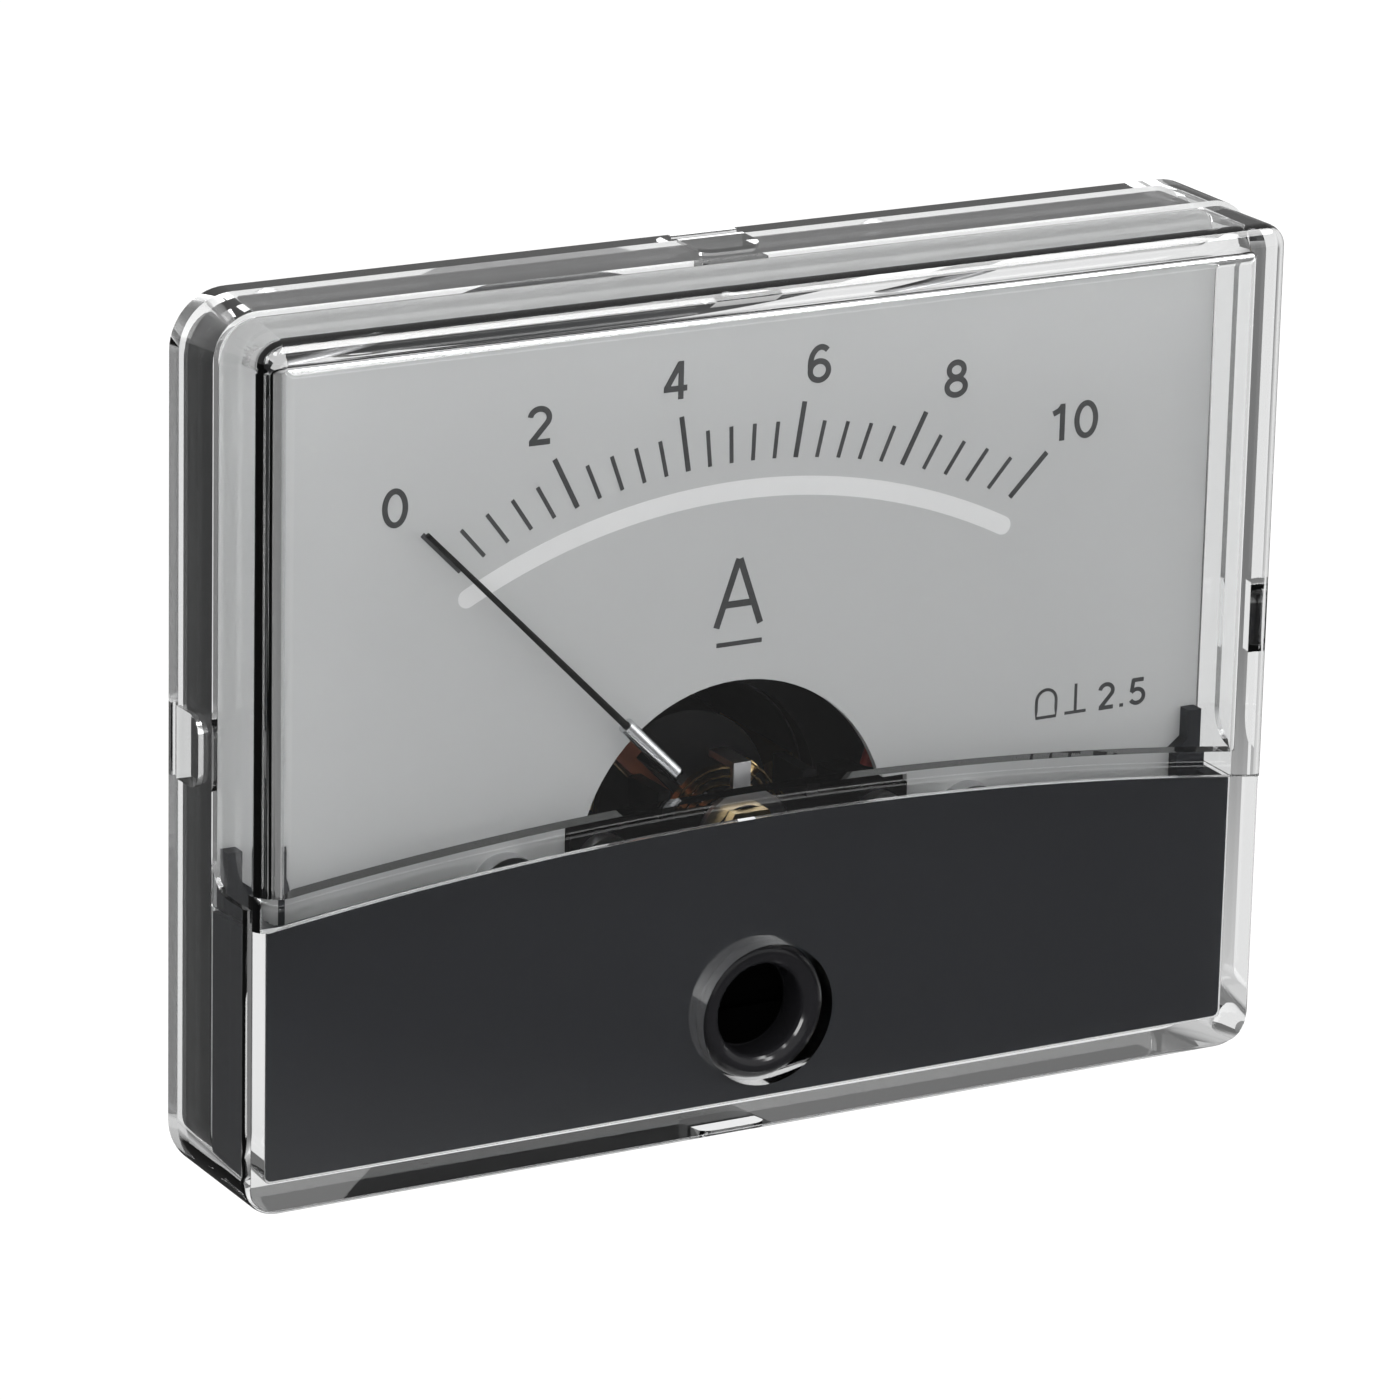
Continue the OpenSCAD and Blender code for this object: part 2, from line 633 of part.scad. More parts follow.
// Rim under the dial, round barrel behind the panel, posts and bosses inside it
module base_housing() {
    inner_half = [base_half[0] - rim_wall, base_half[1] - rim_wall];
    upright() color(black) difference() {
        union() {
            difference() {
                union() {
                    rounded_plate(base_half, inner_corner_r - 0.1, 0, rim_h);
                    at_barrel() disc(barrel_r, -barrel_d, 0);
                    // catches that snap into the cover
                    each_side()
                        block([-side_wall - 1, -catch_w / 2 + 0.2, notch_d + 0.45],
                              [pocket_in - side_wall - 0.15, catch_w / 2 - 0.2, rim_h - 0.8]);
                }
                rounded_plate(inner_half, 0.3, plate_t, rim_h + 1);
                // the barrel's bore, which stays inside the rim
                intersection() {
                    at_barrel() disc(barrel_bore_r, floor_z, rim_h + 1);
                    union() {
                        rounded_plate(inner_half, 0.3, -barrel_d, rim_h + 2);
                        block([-face_w, -face_h, -barrel_d], [face_w, face_h, 0]);
                    }
                }
            }
            // dial posts with their ribs, and movement bosses, run into the barrel's wall
            intersection() {
                at_barrel() disc(barrel_r - e, floor_z - e, rim_h);
                union() {
                    at_dial_screws() {
                        both(dial_screw_x) disc(post_r, post_back, rim_h);
                        for (s = [0, 1]) mirror([s, 0, 0])
                            block([dial_screw_x, -post_rib_h / 2, post_back],
                                  [barrel_r, post_rib_h / 2, plate_t]);
                    }
                    at_barrel() both(boss_x) disc(boss_r, floor_z - e, carrier_back);
                }
            }
        }
        // screw holes in posts and bosses
        at_dial_screws() both(dial_screw_x) disc(screw_r + snug, dial_front - screw_hole_d, rim_h + 1);
        at_barrel() both(boss_x) disc(screw_r + snug, carrier_front - screw_hole_d, carrier_back + 1);
        // terminal holes through the floor
        at_terminals() both(terminal_x) disc(terminal_r + snug, -barrel_d - 1, floor_z + 1);
        // seats of the panel studs
        four() {
            disc(shank_r + snug, -1, plate_t + 1);
            disc(stud_head_r + snug, plate_t - stud_head_t - 0.05, plate_t + 1);
        }
    }
}

// ---- Movement frame ----

// Moulded plate across the barrel, notched for the dial posts, that carries the whole movement
module movement_plate() {
    cut_back = carrier_back - 1;
    cut_front = carrier_front + 1;
    upright() color([0.16, 0.16, 0.17]) difference() {
        intersection() {
            at_barrel() disc(carrier_r, carrier_back, carrier_front);
            block([-carrier_r, -face_h, cut_back], [carrier_r, barrel_y + carrier_top, cut_front]);
        }
        translate([0, pivot_y, 0]) {
            disc(yoke_bore_r + free_play, cut_back, cut_front);
            both(bridge_screw_x) disc(bridge_bolt_r + 0.05, cut_back, cut_front);
        }
        at_dial_screws() for (s = [0, 1]) mirror([s, 0, 0]) {
            translate([dial_screw_x, 0, 0]) disc(post_r + post_gap, cut_back, cut_front);
            block([dial_screw_x, -post_r - post_gap, cut_back], [barrel_r, post_r + post_gap, cut_front]);
        }
        at_barrel() both(boss_x) disc(screw_r + free_play, cut_back, cut_front);
    }
}

module movement_screws() {
    upright() color(steel) at_barrel() both(boss_x)
        slotted_screw(screw_r, movement_head_r, movement_head_h, carrier_front, small_screw_l);
}

module yoke_ring() {
    upright() color([0.35, 0.35, 0.37]) translate([0, pivot_y, 0]) difference() {
        disc(yoke_r, yoke_back, carrier_back);
        disc(yoke_bore_r, yoke_back - 1, carrier_back + 1);
        both(bridge_screw_x) {
            disc(bridge_bolt_r + snug, carrier_back - thread_depth - 0.2, carrier_back + 1);
            disc(bridge_bolt_r + snug, yoke_back - 1, yoke_back + thread_depth + 0.2);
        }
    }
}

module core_magnet() {
    upright() color([0.42, 0.42, 0.44]) translate([0, pivot_y, 0]) disc(core_r, core_back, core_front);
}

// Two brass sectors that hold the core in the yoke, clear of the coil's swing
module core_spacers() {
    far = 2 * yoke_r;
    upright() color(brass) translate([0, pivot_y, 0]) for (a = [0, 180])
        intersection() {
            difference() {
                disc(yoke_bore_r - snug, core_back + spacer_inset, core_front - spacer_inset);
                disc(core_r + snug, core_back, core_front);
            }
            rotate([0, 0, a]) translate([0, 0, core_back]) linear_extrude(core_front - core_back) polygon([
                [0, 0],
                far * [cos(-spacer_half_deg), sin(-spacer_half_deg)],
                far * [cos(spacer_half_deg), sin(spacer_half_deg)]
            ]);
        }
}

// Black bar across the opening, with two legs, the boss of the zero lever and two pointer stops
module front_bridge() {
    upright() color(black) translate([0, pivot_y, 0]) difference() {
        union() {
            block([-bridge_end, -bridge_half_h, bridge_back], [bridge_end, bridge_half_h, bridge_front]);
            disc(lever_boss_r, bridge_back, boss_front);
            for (s = [0, 1]) mirror([s, 0, 0]) {
                block([leg_from, -bridge_half_h, carrier_front], [leg_to, bridge_half_h, bridge_back + e]);
                block([stop_in, bridge_half_h - e, arm_z - 0.25], [stop_out, stop_top, bridge_front]);
                block([stop_in, bridge_half_h - 0.5, arm_z - 0.25],
                      [stop_out, bridge_half_h, bridge_back + e]);
            }
        }
        disc(jewel_screw_r + snug, 0, boss_front + 1);
        both(bridge_screw_x) disc(bridge_bolt_r + 0.05, carrier_front - 1, bridge_front + 1);
    }
}

module front_bridge_screws() {
    upright() color(steel) translate([0, pivot_y, 0]) both(bridge_screw_x)
        slotted_screw(bridge_bolt_r, bridge_head_r, bridge_head_h, bridge_front,
                      bridge_front - carrier_back + thread_depth);
}

module rear_bridge() {
    upright() color([0.6, 0.6, 0.62]) translate([0, pivot_y, 0]) difference() {
        union() {
            block([-leg_to, -bridge_half_h, rear_bar_back], [leg_to, bridge_half_h, rear_bar_front]);
            for (s = [0, 1]) mirror([s, 0, 0])
                block([leg_from, -bridge_half_h, rear_bar_front - e], [leg_to, bridge_half_h, yoke_back]);
        }
        disc(jewel_screw_r + snug, rear_bar_back - 1, rear_bar_front + 1);
        both(bridge_screw_x) disc(bridge_bolt_r + 0.05, rear_bar_back - 1, yoke_back + 1);
    }
}

module rear_bridge_screws() {
    upright() color(steel) translate([0, pivot_y, 0]) both(bridge_screw_x)
        translate([0, 0, rear_bar_back]) mirror([0, 0, 1])
            slotted_screw(bridge_bolt_r, bridge_head_r, bridge_head_h, 0,
                          yoke_back - rear_bar_back + thread_depth);
}

// Threaded screw with a socket for its jewel at z = 0 and a slot at the other end
module jewel_screw(length) {
    difference() {
        disc(jewel_screw_r, 0, length);
        disc(cup_r + snug, -1, cup_l);
        block([-2, -0.18, length - 0.4], [2, 0.18, length + 1]);
    }
}

module front_jewel_screw() {
    upright() color(brass) translate([0, pivot_y, front_cup_back]) jewel_screw(jewel_screw_l);
}

module rear_jewel_screw() {
    upright() color(brass) translate([0, pivot_y, rear_cup_front]) mirror([0, 0, 1])
        jewel_screw(jewel_screw_l - 0.2);
}

module front_jewel_nut() {
    upright() color(brass) translate([0, pivot_y, 0]) difference() {
        hexagon(jewel_nut_af, boss_front, boss_front + jewel_nut_t);
        disc(jewel_screw_r + snug, 0, 10);
    }
}

module rear_jewel_nut() {
    nut_front = rear_bar_back - lever_t;
    upright() color(brass) translate([0, pivot_y, 0]) difference() {
        hexagon(jewel_nut_af, nut_front - jewel_nut_t, nut_front);
        disc(jewel_screw_r + snug, -barrel_d, 0);
    }
}

// Cup bearings seated in the ends of the two jewel screws
module jewel_cups() {
    upright() color([0.75, 0.2, 0.35]) translate([0, pivot_y, 0])
        for (side = [[front_cup_back, 0], [rear_cup_front, 1]])
            translate([0, 0, side[0]]) mirror([0, 0, side[1]]) difference() {
                disc(cup_r, 0, cup_l - snug);
                disc(shaft_r + shaft_gap, -1, cup_l - 0.12);
            }
}

// ---- Zero lever and springs ----

// Stamped lever: ring on the bridge's boss, a tab that holds the front hairspring,
// and a fork over the adjuster's eccentric pin
module zero_lever() {
    ring_r = lever_boss_r + lever_ring_w;
    slot_half = pin_r + fork_gap;
    prong_half = slot_half + 0.75;
    upright() color(steel) translate([0, pivot_y, 0]) difference() {
        union() {
            disc(ring_r, lever_back, lever_front);
            block([-0.5, ring_r - 0.5, lever_back], [0.5, tab_out, lever_front]);
            block([-0.5, tab_in, front_spring_z - 0.1], [0.5, tab_out, lever_front]);
            block([-0.9, -fork_reach + 2, lever_back], [0.9, 0.5 - ring_r, lever_front]);
            block([-prong_half, -fork_reach - 0.3, lever_back],
                  [prong_half, -fork_reach + 2.4, lever_front]);
        }
        disc(lever_boss_r + lever_gap, 0, 10);
        block([-slot_half, -fork_reach - 1, 0], [slot_half, -fork_reach + pin_throw + pin_r + 0.4, 10]);
    }
}

module front_hairspring() {
    upright() color(brass) translate([0, pivot_y, 0]) hairspring(front_spring_z);
}

module rear_hairspring() {
    upright() color(brass) translate([0, pivot_y, 0]) hairspring(rear_spring_z);
}

// Fixed tab that holds the rear hairspring, clamped under the rear jewel nut
module rear_spring_anchor() {
    anchor_back = rear_bar_back - lever_t;
    upright() color(brass) translate([0, pivot_y, 0]) difference() {
        union() {
            disc(2.3, anchor_back, rear_bar_back);
            block([-0.5, 1.5, anchor_back], [0.5, tab_out, rear_bar_back]);
            block([-0.5, tab_in, anchor_back], [0.5, tab_out, rear_spring_z + spring_w + 0.1]);
        }
        disc(jewel_screw_r + 0.05, -20, 0);
    }
}

// ---- Moving coil and pointer ----

// Turns a piece of the coil or the pointer to its rest at the low end of the scale
module at_zero() {
    translate([0, pivot_y, 0]) rotate([0, 0, sweep_deg / 2]) children();
}

// Rectangular frame round the core
module coil_frame(half_out, half_in, width, front, back, wall) {
    difference() {
        block([-width / 2, -half_out, back], [width / 2, half_out, front]);
        block([-width, -half_in, back + wall], [width, half_in, front - wall]);
    }
}

module coil_former() {
    upright() color([0.8, 0.8, 0.82]) at_zero()
        coil_frame(coil_out, coil_in, former_w, former_front, former_back, former_t);
}

module coil_winding() {
    upright() color(copper) at_zero()
        coil_frame(winding_out, coil_out, former_w - 0.3, winding_front, winding_back, winding_t);
}

// Steel shaft with a conical tip on a brass foot; drawn towards +Z from the foot's face
module pivot_shaft(length) {
    disc(1.1, 0, pivot_foot_t);
    disc(shaft_r, pivot_foot_t - e, length - 0.2);
    translate([0, 0, length - 0.2]) cylinder(h = 0.2, r1 = shaft_r, r2 = 0.1);
}

module front_pivot() {
    upright() color(steel) translate([0, pivot_y, winding_front])
        pivot_shaft(front_cup_back + cup_l - 0.17 - winding_front);
}

module rear_pivot() {
    upright() color(steel) translate([0, pivot_y, winding_back]) mirror([0, 0, 1])
        pivot_shaft(winding_back - (rear_cup_front - cup_l + 0.17));
}

module rear_collet() {
    upright() color(brass) translate([0, pivot_y, 0]) difference() {
        disc(collet_r, rear_spring_z - 0.1, winding_back - pivot_foot_t - 0.1);
        disc(shaft_r + snug, -20, 0);
    }
}

// Collet, cranked arm and balance cross of the pointer, all on the front shaft
module pointer_arm() {
    rod_r = 0.18;
    stub_to = (sleeve_from + sleeve_to) / 2;
    upright() color([0.18, 0.18, 0.19]) at_zero() difference() {
        union() {
            disc(collet_r, arm_z - 0.45, front_spring_z + spring_w);
            block([-arm_w / 2, 0.2, arm_z - 0.15], [arm_w / 2, crank_r + 0.2, arm_z + 0.15]);
            block([-arm_w / 2, crank_r - 0.2, arm_z - 0.15],
                  [arm_w / 2, crank_r + 0.2, pointer_z + pointer_r]);
            translate([0, crank_r, pointer_z]) rotate([-90, 0, 0])
                cylinder(h = stub_to - crank_r, r = pointer_r);
            for (a = [90, 180, 270]) rotate([0, 0, a]) translate([0, 0.4, arm_z])
                rotate([-90, 0, 0]) cylinder(h = balance_l - 0.4, r = rod_r);
        }
        disc(shaft_r + snug, -10, 10);
    }
}

module pointer_needle() {
    from = (sleeve_from + sleeve_to) / 2 + 0.05;
    upright() color([0.1, 0.1, 0.1]) at_zero() translate([0, from, pointer_z]) rotate([-90, 0, 0])
        cylinder(h = pointer_l - from, r1 = pointer_r, r2 = pointer_tip_r);
}

module pointer_sleeve() {
    upright() color([0.82, 0.83, 0.85]) at_zero() translate([0, sleeve_from, pointer_z]) rotate([-90, 0, 0])
        difference() {
            cylinder(h = sleeve_to - sleeve_from, r = sleeve_r);
            translate([0, 0, -1]) cylinder(h = sleeve_to - sleeve_from + 2, r = pointer_r + snug);
        }
}

module balance_weights() {
    upright() color(brass) at_zero() for (a = [90, 180, 270]) rotate([0, 0, a])
        translate([0, balance_l - 0.9, arm_z]) rotate([-90, 0, 0]) difference() {
            cylinder(h = 0.8, r = weight_r);
            translate([0, 0, -1]) cylinder(h = 3, r = 0.18 + snug);
        }
}

// ---- Circuit and terminals ----

// Resistance strip across the two terminals, with a trimming notch on each edge
module shunt_strip() {
    notch_half = shunt_over;
    notch_from = shunt_half_h - 1.7;
    upright() color([0.66, 0.5, 0.36]) at_terminals() difference() {
        block([-terminal_x - shunt_over, -shunt_half_h, floor_z],
              [terminal_x + shunt_over, shunt_half_h, shunt_front]);
        both(terminal_x) disc(terminal_r + snug, floor_z - 1, shunt_front + 1);
        for (s = [0, 1]) mirror([0, s, 0])
            block([-notch_half, notch_from, floor_z - 1], [notch_half, shunt_half_h + 1, shunt_front + 1]);
    }
}

module series_resistor() {
    wire_half = terminal_x - terminal_corner_r - touch;
    upright() color([0.75, 0.62, 0.42]) at_terminals() translate([0, 0, resistor_z]) rotate([0, 90, 0]) {
        cylinder(h = resistor_l, r = resistor_r, center = true);
        cylinder(h = 2 * wire_half, r = resistor_wire_r, center = true);
    }
}

// Insulated lead from the right-hand terminal over the movement plate to the front bridge
module front_lead() {
    start_y = barrel_y + terminal_y - terminal_af / 2 - front_lead_r - touch;
    side_x = boss_x - boss_r - front_lead_r - lead_room;
    over_y = barrel_y + carrier_top + front_lead_r + 2 * lead_room;
    over_z = carrier_front + front_lead_r + 2 * lead_room;
    upright() color([0.7, 0.12, 0.1]) wire([
        [terminal_x, start_y, resistor_z],
        [side_x, start_y, shunt_front + terminal_head_h + front_lead_r + 2 * lead_room],
        [side_x, over_y, over_z],
        [leg_to + front_lead_r + touch, pivot_y + bridge_half_h, over_z]
    ], front_lead_r);
}

// Insulated lead from the resistor to the rear spring anchor
module rear_lead() {
    lead_x = terminal_x - terminal_corner_r - rear_lead_r - 0.1;
    start_y = barrel_y + terminal_y - resistor_wire_r - touch;
    upright() color([0.12, 0.2, 0.55]) wire([
        [lead_x, start_y, resistor_z],
        [lead_x, barrel_y + terminal_y - shunt_half_h - 1, resistor_z],
        [0, pivot_y + tab_out + rear_lead_r + touch, rear_bar_back - lever_t / 2]
    ], rear_lead_r);
}

// Hex-headed brass studs, headed inside on the shunt strip
module terminal_studs() {
    upright() color(brass) at_terminals() both(terminal_x) {
        hexagon(terminal_af, shunt_front, shunt_front + terminal_head_h);
        disc(terminal_r, -barrel_d - terminal_l, shunt_front + e);
    }
}

module terminal_washers() {
    upright() color(brass) at_terminals() translate([0, 0, -barrel_d]) both(terminal_x)
        for (z = [0, -washer_t - nut_h - tag_t]) difference() {
            disc(washer_r, z - washer_t, z);
            disc(terminal_r + free_play, z - 2, z + 1);
        }
}

module terminal_nuts() {
    upright() color(brass) at_terminals() translate([0, 0, -barrel_d]) both(terminal_x)
        for (z = [-washer_t, -2 * washer_t - nut_h - tag_t]) difference() {
            hexagon(terminal_af, z - nut_h, z);
            disc(terminal_r + snug, z - nut_h - 1, z + 1);
        }
}

// Tinned solder tags between the nuts
module solder_tags() {
    z = -washer_t - nut_h;
    upright() color([0.8, 0.8, 0.78]) at_terminals() translate([0, 0, -barrel_d]) both(terminal_x)
        difference() {
            union() {
                disc(tag_ring_r, z - tag_t, z);
                block([-tag_half_w, 0, z - tag_t], [tag_half_w, tag_l, z]);
                translate([0, tag_l, 0]) disc(tag_half_w, z - tag_t, z);
            }
            disc(terminal_r + free_play, z - 2, z + 1);
            translate([0, tag_l - tag_half_w / 4, 0]) disc(tag_half_w / 2, z - 2, z + 1);
        }
}

// Four studs whose heads sit in the base's plate
module panel_studs() {
    upright() color(steel) four() {
        disc(stud_head_r, plate_t - stud_head_t, plate_t);
        disc(shank_r, 0, plate_t - stud_head_t + e);
        disc(stud_r, -stud_l, e);
    }
}

front_cover();
front_mask();
zero_adjuster();
dial_plate();
dial_screws();
base_housing();
movement_plate();
movement_screws();
yoke_ring();
core_magnet();
core_spacers();
front_bridge();
front_bridge_screws();
rear_bridge();
rear_bridge_screws();
front_jewel_screw();
front_jewel_nut();
rear_jewel_screw();
rear_jewel_nut();
jewel_cups();
zero_lever();
front_hairspring();
rear_hairspring();
rear_spring_anchor();
coil_former();
coil_winding();
front_pivot();
rear_pivot();
rear_collet();
pointer_arm();
pointer_needle();
pointer_sleeve();
balance_weights();
shunt_strip();
series_resistor();
front_lead();
rear_lead();
terminal_studs();
terminal_washers();
terminal_nuts();
solder_tags();
panel_studs();
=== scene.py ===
import math

import bmesh
import bpy
from mathutils import Matrix, Vector


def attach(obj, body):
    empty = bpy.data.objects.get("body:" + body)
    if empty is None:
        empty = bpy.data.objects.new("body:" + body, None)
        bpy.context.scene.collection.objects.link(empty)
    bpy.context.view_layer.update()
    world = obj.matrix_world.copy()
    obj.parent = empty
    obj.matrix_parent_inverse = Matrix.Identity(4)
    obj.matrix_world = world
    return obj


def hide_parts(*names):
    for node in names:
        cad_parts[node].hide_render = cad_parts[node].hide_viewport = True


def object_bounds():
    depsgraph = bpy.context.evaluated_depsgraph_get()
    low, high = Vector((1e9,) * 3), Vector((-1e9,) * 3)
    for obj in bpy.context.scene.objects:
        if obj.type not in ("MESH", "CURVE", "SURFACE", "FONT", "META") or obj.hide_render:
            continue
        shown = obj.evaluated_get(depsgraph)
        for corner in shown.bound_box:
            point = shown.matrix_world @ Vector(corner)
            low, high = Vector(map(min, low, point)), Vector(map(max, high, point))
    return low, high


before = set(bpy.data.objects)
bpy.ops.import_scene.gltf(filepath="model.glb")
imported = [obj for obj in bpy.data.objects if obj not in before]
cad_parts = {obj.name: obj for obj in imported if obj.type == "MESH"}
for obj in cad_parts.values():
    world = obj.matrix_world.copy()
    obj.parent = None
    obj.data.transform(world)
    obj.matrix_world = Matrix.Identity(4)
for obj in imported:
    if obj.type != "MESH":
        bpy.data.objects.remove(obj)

cad_low, cad_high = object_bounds()


# Camera. A long lens, a little above the meter and to its left, turned slightly about its
# own axis.
CAMERA_LEFT = math.radians(29.62)
CAMERA_ABOVE = math.radians(17.54)
CAMERA_ROLL = math.radians(1.35)
CAMERA_DISTANCE = 0.38742
CAMERA_AIM = Vector((-0.00007, -0.00059, -0.00173))
LENS, SENSOR_W = 193.5, 36
NEAR_END, FAR_END = 0.01, 20

camera_data = bpy.data.cameras.new("camera")
camera_data.lens = LENS
camera_data.sensor_width = SENSOR_W
camera_data.clip_start, camera_data.clip_end = NEAR_END, FAR_END
camera = bpy.data.objects.new("camera", camera_data)
bpy.context.scene.collection.objects.link(camera)
towards_camera = Vector((-math.sin(CAMERA_LEFT) * math.cos(CAMERA_ABOVE),
                         -math.cos(CAMERA_LEFT) * math.cos(CAMERA_ABOVE),
                         math.sin(CAMERA_ABOVE)))
turn = towards_camera.to_track_quat("Z", "Y").to_matrix().to_4x4()
camera.matrix_world = (Matrix.Translation(CAMERA_AIM + towards_camera * CAMERA_DISTANCE)
                       @ turn @ Matrix.Rotation(CAMERA_ROLL, 4, "Z"))
bpy.context.scene.camera = camera
bpy.context.scene.view_settings.view_transform = "Standard"


# World. Plain light all round, a little stronger from the front, and a white background.
# What the clear walls mirror and bend is darker behind the meter than in front of it.
WHITE = (1, 1, 1, 1)
WORLD_LIGHT, FRONT_LIGHT, LIGHT_FADE = 0.6, 1.5, (0.1, -0.9)
WORLD_MIRRORED, BACKGROUND = 0.45, 1.0
FRONT_LOW, FRONT_HIGH, FRONT_RISE = 2.95, 0.85, (0.05, 0.6)
BEHIND_LOW, BEHIND_HIGH, BEHIND_RISE = 0.16, 0.6, (0.2, 0.7)
BACK_TO_FRONT = (0.15, -0.6)


def share_by_ray(tree, plain, mirrored, through, seen):
    """One value for plain light, and others for mirrored, refracted and camera rays."""
    path = tree.nodes.new("ShaderNodeLightPath")

    def step(how, first, second):
        node = tree.nodes.new("ShaderNodeMath")
        node.operation = how
        for socket, value in zip(node.inputs, (first, second)):
            if isinstance(value, float):
                socket.default_value = value
            else:
                tree.links.new(value, socket)
        return node.outputs[0]

    def add_share(total, share, value):
        return step("ADD", total, step("MULTIPLY", share, step("SUBTRACT", value, plain)))

    not_through = step("SUBTRACT", 1.0, path.outputs["Is Transmission Ray"])
    only_mirrored = step("MULTIPLY", path.outputs["Is Glossy Ray"], not_through)
    total = add_share(plain, only_mirrored, mirrored)
    total = add_share(total, path.outputs["Is Transmission Ray"], through)
    return add_share(total, path.outputs["Is Camera Ray"], seen)


def fade(tree, source, start, end, first, last):
    """A soft change from one value to another as the source runs from start to end."""
    node = tree.nodes.new("ShaderNodeMapRange")
    node.interpolation_type = "SMOOTHSTEP"
    for socket, value in (("From Min", start), ("From Max", end),
                          ("To Min", first), ("To Max", last)):
        if isinstance(value, float):
            node.inputs[socket].default_value = value
        else:
            tree.links.new(value, node.inputs[socket])
    tree.links.new(source, node.inputs["Value"])
    return node.outputs["Result"]


world = bpy.data.worlds.new("room")
world.use_nodes = True
bpy.context.scene.world = world
tree = world.node_tree
tree.nodes.clear()
output = tree.nodes.new("ShaderNodeOutputWorld")
light = tree.nodes.new("ShaderNodeBackground")
light.inputs["Color"].default_value = WHITE
direction = tree.nodes.new("ShaderNodeTexCoord")
axes = tree.nodes.new("ShaderNodeSeparateXYZ")
tree.links.new(direction.outputs["Generated"], axes.inputs["Vector"])
depth, height = axes.outputs["Y"], axes.outputs["Z"]
plain = fade(tree, depth, *LIGHT_FADE, WORLD_LIGHT, FRONT_LIGHT)
behind = fade(tree, height, *BEHIND_RISE, BEHIND_LOW, BEHIND_HIGH)
in_front = fade(tree, height, *FRONT_RISE, FRONT_LOW, FRONT_HIGH)
through = fade(tree, depth, *BACK_TO_FRONT, behind, in_front)
tree.links.new(share_by_ray(tree, plain, WORLD_MIRRORED, through, BACKGROUND),
               light.inputs["Strength"])
tree.links.new(light.outputs["Background"], output.inputs["Surface"])


# Floor. A pale plane some way under the meter, which keeps the meter's shadow. Seen through
# the clear walls it is darker at the left, and a dark spot in front keeps the blacks black.
FLOOR_DROP, FLOOR_HALF = 0.030, 3.0
FLOOR_COLOUR = (0.9, 0.9, 0.9, 1)
FLOOR_MIRRORED = 0.06
FLOOR_LEFT, FLOOR_RIGHT, LEFT_TO_RIGHT = 0.2, 0.85, (-0.06, 0.02)
FLOOR_FRONT, FLOOR_FRONT_TO_BACK = 0.7, (-0.02, 0.04)
DARK_SPOT, DARK_SPOT_AT, DARK_SPOT_R = 0.15, (0.085, -0.155, 0), (0.07, 0.13)
GLOW_SHARE_SEEN = 0.8

floor_mesh = bpy.data.meshes.new("floor")
z = cad_low[2] - FLOOR_DROP
floor_mesh.from_pydata([(-FLOOR_HALF, -FLOOR_HALF, z), (FLOOR_HALF, -FLOOR_HALF, z),
                        (FLOOR_HALF, FLOOR_HALF, z), (-FLOOR_HALF, FLOOR_HALF, z)],
                       [], [(0, 1, 2, 3)])
floor = bpy.data.objects.new("floor", floor_mesh)
bpy.context.scene.collection.objects.link(floor)
floor_paint = bpy.data.materials.new("floor_paint")
floor_paint.use_nodes = True
tree = floor_paint.node_tree
tree.nodes.clear()
output = tree.nodes.new("ShaderNodeOutputMaterial")
matt = tree.nodes.new("ShaderNodeBsdfDiffuse")
matt.inputs["Color"].default_value = FLOOR_COLOUR
glow = tree.nodes.new("ShaderNodeEmission")
mix = tree.nodes.new("ShaderNodeMixShader")
spot = tree.nodes.new("ShaderNodeNewGeometry")
axes = tree.nodes.new("ShaderNodeSeparateXYZ")
tree.links.new(spot.outputs["Position"], axes.inputs["Vector"])
behind = fade(tree, axes.outputs["X"], *LEFT_TO_RIGHT, FLOOR_LEFT, FLOOR_RIGHT)
level_spot = tree.nodes.new("ShaderNodeCombineXYZ")
for axis in "XY":
    tree.links.new(axes.outputs[axis], level_spot.inputs[axis])
apart = tree.nodes.new("ShaderNodeVectorMath")
apart.operation = "DISTANCE"
apart.inputs[1].default_value = DARK_SPOT_AT
tree.links.new(level_spot.outputs["Vector"], apart.inputs[0])
in_front = fade(tree, apart.outputs["Value"], *DARK_SPOT_R, DARK_SPOT, FLOOR_FRONT)
through = fade(tree, axes.outputs["Y"], *FLOOR_FRONT_TO_BACK, in_front, behind)
tree.links.new(share_by_ray(tree, 0.0, FLOOR_MIRRORED, through, 1.0), glow.inputs["Strength"])
tree.links.new(share_by_ray(tree, 0.0, 1.0, 1.0, GLOW_SHARE_SEEN), mix.inputs["Fac"])
tree.links.new(matt.outputs["BSDF"], mix.inputs[1])
tree.links.new(glow.outputs["Emission"], mix.inputs[2])
tree.links.new(mix.outputs["Shader"], output.inputs["Surface"])
floor_mesh.materials.append(floor_paint)


# Lamps. Three soft boxes: a narrow one at the left, a wide one above and a small one above
# the camera.
LAMPS = {
    "lamp_left": dict(place=(-0.80, -0.30, 0.35), size=(0.25, 0.5), watts=4.0),
    "lamp_top": dict(place=(0.42, -0.28, 0.80), size=(0.9, 0.34), watts=8.0),
    "lamp_front": dict(place=(-0.30, -0.50, 0.85), size=(0.32, 0.32), watts=2.5),
}

